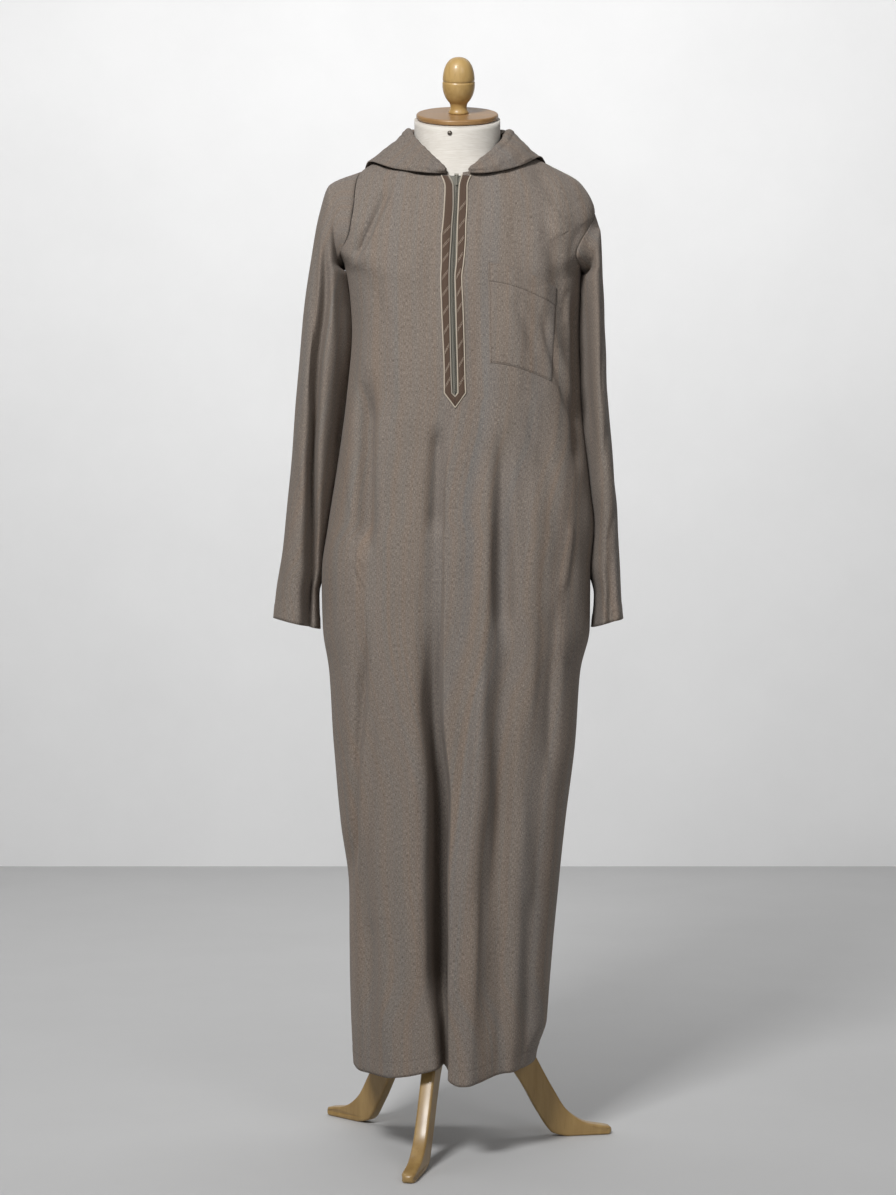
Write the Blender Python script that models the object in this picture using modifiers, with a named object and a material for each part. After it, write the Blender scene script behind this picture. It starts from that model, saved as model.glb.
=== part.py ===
"""A hooded wool djellaba on a limbless dress form with a three-legged wooden stand.

Metres, +Z up, +X to the viewer's right, the robe's front towards -Y, origin on the floor.
The robe hangs from the form's shoulders. Its panels are thin walls lofted through
horizontal sections, with the pleats and folds of hanging cloth pressed into them.
"""

import math
from collections import namedtuple

import bmesh
import bpy
import numpy as np
from mathutils import Matrix, Vector
from mathutils.bvhtree import BVHTree

# ---------------------------------------------------------------- driving sizes
STAND_Y = 0.038            # the pole's axis, set back so that the whole part is centred
CLOTH = 0.0012             # wall of the wool cloth
SEAM = 0.0006              # gap left at a sewn seam
SHOULDER_SEAM = 0.0013     # and along the shoulders, where the walls meet at a ridge
EASE = 0.0022              # gap between the faceted armhole and the sleeve's first ring
BRAID = 0.0010             # wall of the woven braid
CORD = 0.0022              # diameter of the piping
NECK_X = 0.0145            # the neck leans a little to +X over the pole
HEM_Z = 0.124
SLIT_END_Z = 1.152         # foot of the zip opening in the front
SLIT_OPEN_Z = 1.142        # the panel's grid is open above this height
TAPE = 0.0006              # wall of the zip's tape
TAPE_UNDER = 0.006         # how far the tape runs under the cloth
HALF_CHAIN = 0.0011        # half the width of the zip's chain
CHAIN = 0.0012             # and its thickness
TRIM_START = 0.004         # the braid and piping start this far below the neckline
COLLECTION = "djellaba_on_dress_form"

# A horizontal section of the body. Heights and reaches are given at the four sides,
# because the upper sections tilt: they follow the slope of the shoulders.
Section = namedtuple("Section", "z_left x_left z_right x_right z_front y_front z_back y_back square")
BODY = [
    Section(1.541, -0.061, 1.541, 0.090, 1.492, -0.083, 1.548, 0.080, 2.0),
    Section(1.531, -0.095, 1.533, 0.125, 1.470, -0.097, 1.528, 0.098, 2.1),
    Section(1.510, -0.133, 1.514, 0.166, 1.440, -0.108, 1.497, 0.112, 2.2),
    Section(1.480, -0.160, 1.490, 0.206, 1.405, -0.117, 1.460, 0.120, 2.3),
    Section(1.440, -0.178, 1.445, 0.228, 1.370, -0.124, 1.420, 0.124, 2.4),
    Section(1.400, -0.180, 1.400, 0.224, 1.335, -0.129, 1.380, 0.126, 2.4),
    Section(1.358, -0.160, 1.352, 0.207, 1.300, -0.132, 1.340, 0.126, 2.4),
    Section(1.260, -0.149, 1.260, 0.205, 1.240, -0.135, 1.250, 0.122, 2.5),
    Section(1.150, -0.158, 1.150, 0.208, 1.150, -0.136, 1.150, 0.118, 2.5),
    Section(1.050, -0.172, 1.050, 0.217, 1.050, -0.136, 1.050, 0.118, 2.5),
    Section(0.960, -0.186, 0.960, 0.228, 0.960, -0.137, 0.960, 0.120, 2.5),
    Section(0.885, -0.196, 0.885, 0.221, 0.885, -0.138, 0.885, 0.122, 2.5),
    Section(0.800, -0.194, 0.800, 0.220, 0.800, -0.139, 0.800, 0.124, 2.5),
    Section(0.730, -0.184, 0.730, 0.205, 0.730, -0.140, 0.730, 0.125, 2.5),
    Section(0.620, -0.177, 0.620, 0.197, 0.620, -0.142, 0.620, 0.127, 2.5),
    Section(0.500, -0.166, 0.500, 0.182, 0.500, -0.144, 0.500, 0.130, 2.5),
    Section(0.390, -0.153, 0.390, 0.170, 0.390, -0.147, 0.390, 0.133, 2.5),
    Section(0.260, -0.152, 0.260, 0.159, 0.260, -0.150, 0.260, 0.136, 2.6),
    Section(0.170, -0.149, 0.170, 0.152, 0.170, -0.154, 0.170, 0.138, 2.7),
    Section(HEM_Z, -0.146, HEM_Z, 0.149, HEM_Z, -0.156, HEM_Z, 0.138, 2.7),
]
ROWS_PER_SECTION = [3, 2, 2, 2, 3, 3, 1, 1, 1, 1, 1, 1, 1, 1, 1, 1, 1, 1, 1]
ARM_TOP = {"left": 2, "right": 4}      # the section where each armhole begins
ARM_LOW = 6                            # and the one where both end, under the arm
ARM_ANGLE = math.radians(34)           # half of the armhole, seen round the body
BODY_REACH = 0.13                      # the body's usual reach, to turn a gap into an angle

# Soft folds: a trough (depth above 0) or a ridge (depth below 0) that runs down a face.
Fold = namedtuple("Fold", "face z_top x_top z_low x_low depth_top depth_low width")
FOLDS = [
    Fold("front", 1.000, 0.064, 0.060, 0.030, -0.004, -0.016, 0.016),
    Fold("front", 1.020, 0.084, 0.060, 0.078, 0.006, 0.017, 0.020),
    Fold("front", 0.900, 0.156, 0.060, 0.112, 0.004, 0.012, 0.016),
    Fold("front", 0.860, -0.130, 0.060, -0.115, 0.006, 0.014, 0.015),
    Fold("front", 1.200, -0.122, 0.900, -0.128, 0.010, 0.003, 0.014),
    Fold("front", 1.480, 0.140, 1.180, 0.188, 0.002, 0.010, 0.013),
    Fold("front", 1.490, -0.075, 1.360, -0.128, 0.004, 0.008, 0.012),
    Fold("back", 1.150, -0.070, 0.060, -0.048, 0.006, 0.024, 0.020),
    Fold("back", 1.250, 0.010, 0.060, 0.022, 0.004, 0.028, 0.022),
    Fold("back", 1.120, 0.090, 0.060, 0.086, 0.006, 0.024, 0.020),
    Fold("back", 0.980, -0.014, 0.060, -0.014, -0.003, -0.010, 0.016),
]

# The deep pleat down the middle of the skirt: its right lip laps over its left side.
Pleat = namedtuple("Pleat", "z x_left x_right depth lip lap width")
PLEAT = [
    Pleat(1.160, 0.0060, 0.0150, 0.000, 0.000, 0.000, 0.020),
    Pleat(0.980, -0.0170, -0.0050, 0.004, 0.000, 0.000, 0.020),
    Pleat(0.840, -0.0200, -0.0050, 0.010, 0.001, 0.000, 0.020),
    Pleat(0.690, -0.0240, -0.0040, 0.026, 0.002, 0.001, 0.020),
    Pleat(0.540, -0.0140, 0.0080, 0.048, 0.004, 0.003, 0.018),
    Pleat(0.280, -0.0120, 0.0110, 0.076, 0.006, 0.008, 0.015),
    Pleat(0.190, -0.0060, 0.0120, 0.056, 0.006, 0.009, 0.010),
    Pleat(0.100, -0.0020, 0.0110, 0.046, 0.006, 0.010, 0.008),
]
PLEAT_RIGHT_WIDTH = 0.016

# The trimming of the front opening: reach of each line across the chest, going down.
Trim = namedtuple("Trim", "z outer_left inner_left zip inner_right outer_right")
TRIM = [
    Trim(1.490, -0.0114, -0.0005, 0.0129, 0.0224, 0.0358),
    Trim(1.467, -0.0041, 0.0079, 0.0129, 0.0171, 0.0288),
    Trim(1.439, -0.0053, 0.0080, 0.0121, 0.0160, 0.0287),
    Trim(1.408, -0.0075, 0.0057, 0.0106, 0.0146, 0.0271),
    Trim(1.386, -0.0096, 0.0045, 0.0092, 0.0139, 0.0267),
    Trim(1.349, -0.0096, 0.0023, 0.0080, 0.0126, 0.0238),
    Trim(1.326, -0.0104, 0.0018, 0.0066, 0.0104, 0.0209),
    Trim(1.293, -0.0093, 0.0024, 0.0072, 0.0112, 0.0218),
    Trim(1.239, -0.0074, 0.0036, 0.0088, 0.0126, 0.0234),
    Trim(1.179, -0.0053, 0.0048, 0.0108, 0.0145, 0.0252),
    Trim(1.152, -0.0053, 0.0058, 0.0111, 0.0152, 0.0263),
]
BRAID_POINT = (0.0112, 1.130)
BRAID_INNER_POINT = (0.0111, 1.1465)
TRIM_ROWS = 22
TAPE_ROWS = 13

# A sleeve section: outer and inner side with their heights, front and back reach.
Cuff = namedtuple("Cuff", "z_outer x_outer z_inner x_inner y_front y_back")
SLEEVES = {
    "left": [
        Cuff(1.489, -0.181, 1.345, -0.169, -0.078, 0.080),
        Cuff(1.443, -0.199, 1.318, -0.164, -0.081, 0.085),
        Cuff(1.360, -0.2145, 1.275, -0.158, -0.082, 0.088),
        Cuff(1.250, -0.2280, 1.205, -0.1575, -0.080, 0.086),
        Cuff(1.130, -0.2387, 1.110, -0.1670, -0.077, 0.083),
        Cuff(1.030, -0.2450, 1.020, -0.1800, -0.075, 0.080),
        Cuff(0.930, -0.2558, 0.925, -0.1950, -0.074, 0.077),
        Cuff(0.860, -0.2665, 0.850, -0.2010, -0.074, 0.074),
        Cuff(0.815, -0.2710, 0.797, -0.2000, -0.074, 0.072),
    ],
    "right": [
        Cuff(1.420, 0.2350, 1.337, 0.2165, -0.075, 0.077),
        Cuff(1.370, 0.2390, 1.300, 0.2175, -0.079, 0.083),
        Cuff(1.280, 0.2425, 1.230, 0.2175, -0.081, 0.087),
        Cuff(1.180, 0.2460, 1.150, 0.2185, -0.080, 0.087),
        Cuff(1.080, 0.2535, 1.060, 0.2245, -0.078, 0.085),
        Cuff(0.980, 0.2625, 0.970, 0.2345, -0.076, 0.082),
        Cuff(0.900, 0.2650, 0.890, 0.2280, -0.075, 0.079),
        Cuff(0.850, 0.2670, 0.840, 0.2270, -0.075, 0.077),
        Cuff(0.814, 0.2700, 0.800, 0.2240, -0.075, 0.076),
    ],
}
SLEEVE_SQUARE = 2.1
HEAD_RINGS = 5             # rings from the armhole to the second section
SLEEVE_CREASE = {"left": (1.28, 0.80, 0.024), "right": (1.10, 0.80, 0.008)}

# The lowered hood, by direction round the neck in degrees: 270 is the front, 90 the back.
# Edge, crest and swell are distances from the neck's axis with their heights; the fold is
# where it turns under, counted in body sections, and lift is its height above the robe.
Hood = namedtuple("Hood", "angle edge_r edge_z crest_r crest_z swell_r swell_z fold lift")
HOOD = {
    "left": [
        Hood(258, 0.0800, 1.4975, 0.0835, 1.4990, 0.0880, 1.4965, 0.30, 0.0032),
        Hood(240, 0.0730, 1.5180, 0.0780, 1.5220, 0.0930, 1.5120, 0.75, 0.0040),
        Hood(215, 0.0715, 1.5450, 0.0775, 1.5510, 0.0990, 1.5300, 1.35, 0.0050),
        Hood(180, 0.0715, 1.5730, 0.0765, 1.5785, 0.1000, 1.5540, 1.80, 0.0060),
        Hood(150, 0.0750, 1.5750, 0.0820, 1.5820, 0.1190, 1.5480, 2.40, 0.0080),
        Hood(130, 0.0765, 1.5740, 0.0860, 1.5850, 0.1330, 1.5380, 3.70, 0.0110),
        Hood(110, 0.0770, 1.5720, 0.0890, 1.5850, 0.1440, 1.5220, 6.30, 0.0150),
        Hood(90, 0.0770, 1.5700, 0.0910, 1.5850, 0.1500, 1.5100, 7.70, 0.0190),
    ],
    "right": [
        Hood(282, 0.0800, 1.4975, 0.0835, 1.4990, 0.0880, 1.4965, 0.30, 0.0032),
        Hood(300, 0.0735, 1.5150, 0.0790, 1.5190, 0.0950, 1.5100, 0.75, 0.0040),
        Hood(325, 0.0725, 1.5400, 0.0800, 1.5460, 0.1050, 1.5280, 1.25, 0.0050),
        Hood(360, 0.0735, 1.5680, 0.0810, 1.5770, 0.1100, 1.5470, 1.65, 0.0060),
        Hood(390, 0.0760, 1.5740, 0.0845, 1.5820, 0.1220, 1.5470, 2.40, 0.0080),
        Hood(410, 0.0770, 1.5735, 0.0870, 1.5850, 0.1340, 1.5370, 3.70, 0.0110),
        Hood(430, 0.0775, 1.5720, 0.0900, 1.5850, 0.1450, 1.5220, 6.30, 0.0150),
        Hood(450, 0.0770, 1.5700, 0.0910, 1.5850, 0.1500, 1.5100, 7.70, 0.0190),
    ],
}
HOOD_UNDER = 0.0055        # how far the hood's under layer lies above the robe
HOOD_UNDER_SHARES = (0.94, 0.77, 0.6, 0.46, 0.33, 0.22, 0.14, 0.07, 0.02)
HOOD_COLUMNS = 18
HOOD_REACH = 0.1           # the hood's usual reach, to turn its seam's gap into an angle

# Sewn-on patches of the front: reach at the top and the foot, heights at both sides.
Patch = namedtuple("Patch", "x_left_top x_right_top x_left_low x_right_low z_left_top z_right_top z_left_low z_right_low")
CHEST_POCKET = Patch(0.0600, 0.1640, 0.0630, 0.1560, 1.3490, 1.3150, 1.1970, 1.1720)
POCKET_BAGS = {
    "left": Patch(-0.160, -0.142, -0.176, -0.118, 1.062, 1.046, 0.752, 0.722),
    "right": Patch(0.176, 0.208, 0.164, 0.196, 1.000, 0.985, 0.770, 0.735),
}

# The dress form, from neck to hips: reach of its sections.
Ring = namedtuple("Ring", "z x_left x_right y_front y_back square")
TORSO = [
    Ring(1.5910, -0.0525, 0.0815, -0.0670, 0.0670, 2.0),
    Ring(1.5400, -0.0525, 0.0815, -0.0670, 0.0670, 2.0),
    Ring(1.5180, -0.0600, 0.0890, -0.0680, 0.0690, 2.0),
    Ring(1.5000, -0.0880, 0.1170, -0.0710, 0.0740, 2.1),
    Ring(1.4800, -0.1300, 0.1580, -0.0780, 0.0810, 2.3),
    Ring(1.4500, -0.1570, 0.1850, -0.0890, 0.0890, 2.5),
    Ring(1.4100, -0.1620, 0.1900, -0.0970, 0.0950, 2.5),
    Ring(1.3600, -0.1460, 0.1740, -0.1040, 0.0980, 2.4),
    Ring(1.3000, -0.1330, 0.1600, -0.1090, 0.0990, 2.4),
    Ring(1.2200, -0.1290, 0.1550, -0.1090, 0.0950, 2.4),
    Ring(1.1000, -0.1260, 0.1500, -0.1010, 0.0850, 2.3),
    Ring(0.9800, -0.1340, 0.1500, -0.1000, 0.0900, 2.3),
    Ring(0.8800, -0.1430, 0.1550, -0.0980, 0.0980, 2.3),
    Ring(0.8300, -0.1420, 0.1530, -0.0940, 0.0960, 2.3),
]
TORSO_CORNERS = 28
POLE_R = 0.0135
HUB_TOP_Z = 0.262
CAP_R = 0.064
CAP_THICK = 0.0085
CAP_TILT = math.radians(22)     # the neck is cut off at a slant, so the cap leans forward
CAP_Z = 1.5965
NECK_LEVEL_Z = 1.5180      # the neck's sections are level up to here
PIN_X = 0.0028
PIN_Z = 1.5560
PIN_REACH = 0.0672         # the pin's place off the neck's axis, just clear of the calico
LEG_THICK = 0.021
LEG_TOE = 0.262            # the toe's reach from the pole
LEG_ROOT = 0.0296          # where a leg's root face meets the hub
LEG_HEADINGS = {"left": 138, "right": 10, "front": 257}

# The zip's slider and pull tab, in their own frame: x across, z up the zip, -y outwards.
ZIP_SLIDER_Z = 1.4860
TAB_LENGTH = 0.021
TAB_WIDTH = 0.0034
TAB_THICK = 0.0010
HINGE_OUT = 0.0026         # the hinge rod's distance in front of the slider's plate


# ---------------------------------------------------------------- curves and surfaces
def curve_through(keys, values, at):
    """A smooth curve through the values that never overshoots them."""
    keys = np.asarray(keys, float)
    values = np.asarray(values, float)
    at = np.clip(np.asarray(at, float), keys[0], keys[-1])
    steps = np.diff(keys)
    slopes = np.diff(values) / steps
    tangents = np.zeros(len(keys))
    same = slopes[:-1] * slopes[1:] > 0
    tangents[1:-1][same] = 2 / (1 / slopes[:-1][same] + 1 / slopes[1:][same])
    tangents[0] = slopes[0]
    tangents[-1] = slopes[-1]
    index = np.clip(np.searchsorted(keys, at, side="right") - 1, 0, len(steps) - 1)
    step = steps[index]
    u = (at - keys[index]) / step
    start = values[index] * (1 + 2 * u) * (1 - u) ** 2 + tangents[index] * step * u * (1 - u) ** 2
    end = values[index + 1] * u**2 * (3 - 2 * u) - tangents[index + 1] * step * u**2 * (1 - u)
    return start + end


def column(table, field):
    return [getattr(row, field) for row in table]


def signed_power(value, power):
    return np.sign(value) * np.abs(value) ** power


def smoothstep(value):
    value = np.clip(value, 0.0, 1.0)
    return value * value * (3 - 2 * value)


def pleat_values(z):
    """The pleat's lines and depths at a height."""
    heights = column(PLEAT, "z")[::-1]
    return {
        field: curve_through(heights, column(PLEAT, field)[::-1], z)
        for field in Pleat._fields[1:]
    }


def folded(x, y, z, on_front):
    """Presses the pleat and the soft folds into points of the plain body."""
    shift_x = np.zeros_like(x)
    inward = np.zeros_like(x)
    p = pleat_values(z)
    left = np.exp(-(((x - p["x_left"]) / p["width"]) ** 2))
    right = np.exp(-(((x - p["x_right"]) / PLEAT_RIGHT_WIDTH) ** 2))
    across = smoothstep(((x - p["x_left"]) / (p["x_right"] - p["x_left"]) - 0.5) / 0.5)
    between = p["depth"] * (1 - across) - p["lip"] * across
    pleat = np.where(x < p["x_left"], p["depth"] * left, np.where(x > p["x_right"], -p["lip"] * right, between))
    inward += np.where(on_front, pleat, 0.0)
    lap = np.where(x > p["x_right"], right, across * (x > p["x_left"]))
    shift_x -= np.where(on_front, p["lap"] * lap, 0.0)
    for fold in FOLDS:
        along = (fold.z_top - z) / (fold.z_top - fold.z_low)
        centre = fold.x_top + (fold.x_low - fold.x_top) * along
        depth = fold.depth_top + (fold.depth_low - fold.depth_top) * along
        fade = smoothstep(along / 0.15) * smoothstep((1 - along) / 0.15 + (fold.z_low < HEM_Z))
        pressed = depth * fade * np.exp(-(((x - centre) / fold.width) ** 2))
        inward += np.where(on_front == (fold.face == "front"), pressed, 0.0)
    return x + shift_x, y + np.where(on_front, inward, -inward), z


def body_surface(angle, level):
    """Points of the robe's body at an angle round it and a level down it, in sections."""
    angle, level = np.broadcast_arrays(np.asarray(angle, float), np.asarray(level, float))
    keys = range(len(BODY))
    at = {field: curve_through(keys, column(BODY, field), level) for field in Section._fields}
    along_x = signed_power(np.cos(angle), 2 / at["square"])
    along_y = signed_power(np.sin(angle), 2 / at["square"])
    middle = (at["x_left"] + at["x_right"]) / 2
    half = (at["x_right"] - at["x_left"]) / 2
    on_front = along_y < 0
    x = middle + half * along_x
    y = np.where(on_front, -at["y_front"], at["y_back"]) * along_y
    side_z = at["z_left"] + (at["z_right"] - at["z_left"]) * (1 + along_x) / 2
    end_z = np.where(on_front, at["z_front"], at["z_back"])
    z = side_z + (end_z - side_z) * np.abs(along_y) ** 1.8
    return np.stack(folded(x, y, z, on_front), axis=-1)


def front_angle(x, level):
    """The angle at which the plain front reaches x at a level."""
    keys = range(len(BODY))
    left = curve_through(keys, column(BODY, "x_left"), level)
    right = curve_through(keys, column(BODY, "x_right"), level)
    square = curve_through(keys, column(BODY, "square"), level)
    share = np.clip((x - (left + right) / 2) / ((right - left) / 2), -1, 1)
    cosine = signed_power(share, square / 2)
    return 2 * np.pi - np.arccos(cosine)


def body_levels():
    levels = [0.0]
    for index, rows in enumerate(ROWS_PER_SECTION):
        levels += [index + (step + 1) / rows for step in range(rows)]
    return np.array(levels)


def arm_opening(side, levels):
    """How far an armhole eats into the panels, as an angle."""
    share = (levels - ARM_TOP[side]) / (ARM_LOW - ARM_TOP[side])
    inside = (share > 0) & (share < 1)
    return np.where(inside, ARM_ANGLE * np.sin(np.pi * np.clip(share, 0, 1)) ** 0.7, 0.0)


def seam_angle(level):
    """The small turn that takes a panel's edge half a seam away from the side."""
    keys = range(len(BODY))
    square = curve_through(keys, column(BODY, "square"), level)
    gap = np.where(np.asarray(level) < ARM_LOW + 0.5, SHOULDER_SEAM, SEAM)
    return (gap / 2 / BODY_REACH) ** (square / 2)


# ---------------------------------------------------------------- scene helpers
def clear_scene():
    for obj in list(bpy.data.objects):
        bpy.data.objects.remove(obj)
    collection = bpy.data.collections.new(COLLECTION)
    bpy.context.scene.collection.children.link(collection)
    return collection


def material(name, colour, roughness, metallic=0.0):
    made = bpy.data.materials.get(name) or bpy.data.materials.new(name)
    made.use_nodes = True
    shader = made.node_tree.nodes["Principled BSDF"]
    shader.inputs["Base Color"].default_value = (*colour, 1.0)
    shader.inputs["Roughness"].default_value = roughness
    shader.inputs["Metallic"].default_value = metallic
    return made


WOOL = ("wool", (0.205, 0.172, 0.147), 0.90)
BRAIDING = ("braid", (0.105, 0.074, 0.052), 0.75)
PIPING = ("piping", (0.46, 0.40, 0.33), 0.70)
ZIP_TAPE = ("zip_tape", (0.20, 0.20, 0.17), 0.80)
ZIP_METAL = ("zip_metal", (0.30, 0.29, 0.25), 0.40, 0.9)
CALICO = ("calico", (0.64, 0.60, 0.54), 0.85)
BEECH = ("beech", (0.40, 0.27, 0.11), 0.45)
STEEL = ("steel", (0.42, 0.40, 0.38), 0.35, 1.0)


def finish_object(obj, look):
    """Puts a sub-part in its place on the stand, with its own material."""
    obj.location = (obj.location[0], obj.location[1] + STAND_Y, obj.location[2])
    obj.data.materials.clear()
    obj.data.materials.append(material(*look))
    obj.parent = ROOT
    return obj


def mesh_object(name, vertices, faces, look, smooth=True):
    mesh = bpy.data.meshes.new(name)
    mesh.from_pydata([tuple(map(float, v)) for v in vertices], [], faces)
    mesh.update()
    obj = bpy.data.objects.new(name, mesh)
    PARTS.objects.link(obj)
    if smooth:
        mesh.shade_smooth()
    return finish_object(obj, look)


def grid_faces(rows, columns, skip=()):
    """Quads of a grid of points, row by row, without the skipped (row, column) cells."""
    faces = []
    for row in range(rows - 1):
        for col in range(columns - 1):
            if (row, col) in skip:
                continue
            first = row * columns + col
            faces.append((first, first + columns, first + columns + 1, first + 1))
    return faces


def sheet_object(name, points, look, thickness, skip=(), outward=None, closed=False):
    """A wall of cloth: the open surface through a grid of points, given its thickness."""
    rows, columns = points.shape[:2]
    vertices = points.reshape(-1, 3)
    faces = grid_faces(rows, columns, skip)
    if closed:
        faces += [
            (r * columns + columns - 1, (r + 1) * columns + columns - 1, (r + 1) * columns, r * columns)
            for r in range(rows - 1)
        ]
    used = sorted({index for face in faces for index in face})
    place = {index: new for new, index in enumerate(used)}
    faces = [tuple(place[index] for index in face) for face in faces]
    obj = mesh_object(name, vertices[used], faces, look)
    solid = obj.modifiers.new("wall", "SOLIDIFY")
    solid.thickness = thickness
    solid.offset = 0.0
    solid.use_even_offset = True
    solid.use_quality_normals = True
    return obj


# ---------------------------------------------------------------- the robe's body
FRONT_LEFT_COLUMNS = 13
FRONT_RIGHT_COLUMNS = 13
CROWDING = 1.35            # how closely the columns crowd towards the middle
BACK_COLUMNS = 19


def front_grid(levels):
    """The front's points: columns crowd towards the slit above and the pleat below."""
    seam = seam_angle(levels)
    start = np.pi + seam + arm_opening("left", levels)
    end = 2 * np.pi - seam - arm_opening("right", levels)
    heights = body_surface(np.full_like(levels, 1.5 * np.pi), levels)[:, 2]
    p = pleat_values(heights)
    trim_z = column(TRIM, "z")[::-1]
    slit_left = curve_through(trim_z, column(TRIM, "inner_left")[::-1], heights)
    slit_right = curve_through(trim_z, column(TRIM, "inner_right")[::-1], heights)
    above = heights > SLIT_OPEN_Z
    x_left = np.where(above, slit_left, p["x_left"])
    x_right = np.where(above, slit_right, p["x_right"])
    turn_left = front_angle(x_left, levels)
    turn_middle = front_angle((x_left + x_right) / 2, levels)
    turn_right = front_angle(x_right, levels)
    spread = 1 - (1 - np.linspace(0, 1, FRONT_LEFT_COLUMNS)) ** CROWDING
    left = start[:, None] + (turn_left - start)[:, None] * spread
    spread = np.linspace(0, 1, FRONT_RIGHT_COLUMNS) ** CROWDING
    right = turn_right[:, None] + (end - turn_right)[:, None] * spread
    angles = np.hstack([left, turn_middle[:, None], right])
    return body_surface(angles, levels[:, None]), heights


def make_front(levels):
    points, heights = front_grid(levels)
    slit_rows = [row for row in range(len(levels) - 1) if heights[row + 1] > SLIT_OPEN_Z]
    middle = FRONT_LEFT_COLUMNS - 1
    skip = {(row, col) for row in slit_rows for col in (middle, middle + 1)}
    sheet_object("front", points, WOOL, CLOTH, skip)
    return points


def make_back(levels):
    seam = seam_angle(levels)
    start = seam + arm_opening("right", levels)
    end = np.pi - seam - arm_opening("left", levels)
    spread = np.linspace(0, 1, BACK_COLUMNS)
    angles = start[:, None] + (end - start)[:, None] * spread
    return sheet_object("back", body_surface(angles, levels[:, None]), WOOL, CLOTH)


# ---------------------------------------------------------------- the sleeves
def armhole_loop(side, levels):
    """The armhole's edge, from the shoulder down its front and up its back."""
    inside = levels[(levels > ARM_TOP[side]) & (levels < ARM_LOW)]
    opening = arm_opening(side, inside)
    flank = math.pi if side == "left" else 2 * math.pi
    forward = 1 if side == "left" else -1
    top = body_surface(flank, ARM_TOP[side])
    low = body_surface(flank, ARM_LOW)
    front = body_surface(flank + forward * opening, inside)
    back = body_surface(flank - forward * opening, inside)
    return np.vstack([top[None], front, low[None], back[::-1]])


def sleeve_rings(side, levels):
    """The sleeve's rings: the armhole's edge, then the sections that hang below it."""
    loop = armhole_loop(side, levels)
    count = len(loop)
    half = count // 2
    turn = np.array([math.pi * step / half for step in range(count)])
    sections = [loop]
    for cuff in SLEEVES[side]:
        share = (1 - np.cos(turn)) / 2
        rounding = signed_power(np.cos(turn), 2 / SLEEVE_SQUARE)
        x = (cuff.x_outer + cuff.x_inner) / 2 + (cuff.x_outer - cuff.x_inner) / 2 * rounding
        reach = np.where(np.sin(turn) > 0, cuff.y_front, cuff.y_back)
        y = reach * np.abs(np.sin(turn)) ** (2 / SLEEVE_SQUARE)
        z = cuff.z_outer + (cuff.z_inner - cuff.z_outer) * share
        top, low, depth = SLEEVE_CREASE[side]
        crease = depth * smoothstep((top - z) / (top - low))
        middle = (cuff.x_outer + cuff.x_inner) / 2
        width = abs(cuff.x_outer - cuff.x_inner) * 0.30
        pressed = crease * np.exp(-(((x - middle) / width) ** 2))
        y = y + np.where(np.sin(turn) > 0, pressed, 0.0)
        sections.append(np.stack([x, y, z], axis=-1))
    sections = np.array(sections)
    keys = np.arange(len(sections))
    at = np.concatenate([np.linspace(0, 2, HEAD_RINGS), np.arange(3, len(sections))])
    rings = np.empty((len(at), count, 3))
    for col in range(count):
        for axis in range(3):
            rings[:, col, axis] = curve_through(keys, sections[:, col, axis], at)
    away = rings[1] - rings[0]
    away /= np.linalg.norm(away, axis=1)[:, None]
    rings[0] += away * EASE
    return rings


def make_sleeve(side, levels):
    rings = sleeve_rings(side, levels)
    if side == "left":
        rings = rings[:, ::-1]
    return sheet_object("sleeve_" + side, rings, WOOL, CLOTH, closed=True)


# ---------------------------------------------------------------- the hood
def outward_normals(angle, level):
    step = 1e-3
    across = body_surface(angle + step, level) - body_surface(angle - step, level)
    down = body_surface(angle, level + step) - body_surface(angle, level - step)
    normal = np.cross(down, across)
    return normal / np.linalg.norm(normal, axis=-1, keepdims=True)


def above_body(angle, level, lift):
    level = np.clip(level, 0.002, len(BODY) - 1.002)
    return body_surface(angle, level) + outward_normals(angle, level) * np.asarray(lift)[..., None]


def make_hood(side):
    table = HOOD[side]
    degrees = column(table, "angle")
    ends = (degrees[0], degrees[-1])
    angles = np.linspace(ends[0], ends[1], HOOD_COLUMNS)
    order = 1 if ends[1] > ends[0] else -1
    at = {
        field: curve_through(np.array(degrees) * order, column(table, field), angles * order)
        for field in Hood._fields[1:]
    }
    turn = np.radians(angles)
    turn[-1] -= order * SEAM / 2 / HOOD_REACH
    axis = np.array([NECK_X, 0.0])
    heading = np.stack([np.cos(turn), np.sin(turn)], axis=-1)

    def standing(radius, height):
        return np.concatenate([axis + heading * radius[:, None], height[:, None]], axis=1)

    fold = at["fold"]
    knots = [
        standing(at["edge_r"], at["edge_z"]),
        standing(at["crest_r"], at["crest_z"]),
        standing(at["swell_r"], at["swell_z"]),
        above_body(turn, fold * 0.80, at["lift"] * 2.0 + HOOD_UNDER),
        above_body(turn, fold, at["lift"] + HOOD_UNDER),
        above_body(turn, fold * 1.02 + 0.02, at["lift"] * 0.4 + HOOD_UNDER),
    ]
    under = np.full_like(fold, HOOD_UNDER)
    knots += [above_body(turn, fold * share + 0.02, under) for share in HOOD_UNDER_SHARES]
    points = np.array(knots).transpose(1, 0, 2)
    if side == "left":
        points = points[::-1]
    return sheet_object("hood_" + side, points, WOOL, CLOTH)


# ---------------------------------------------------------------- what lies on the front
def panel_tree(points):
    rows, columns = points.shape[:2]
    triangles = []
    for a, b, c, d in grid_faces(rows, columns):
        triangles += [(a, b, c), (a, c, d)]
    return BVHTree.FromPolygons([Vector(p) for p in points.reshape(-1, 3)], triangles)


def on_front(x, z, lift):
    """A point of the front panel at x and z, moved out by lift."""
    location, normal, _, _ = FRONT_TREE.ray_cast(Vector((x, -1.0, z)), Vector((0, 1, 0)))
    if normal.y > 0:
        normal = -normal
    return np.array(location + normal * lift)


def trim_at(field, z):
    return float(curve_through(column(TRIM, "z")[::-1], column(TRIM, field)[::-1], z))


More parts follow.
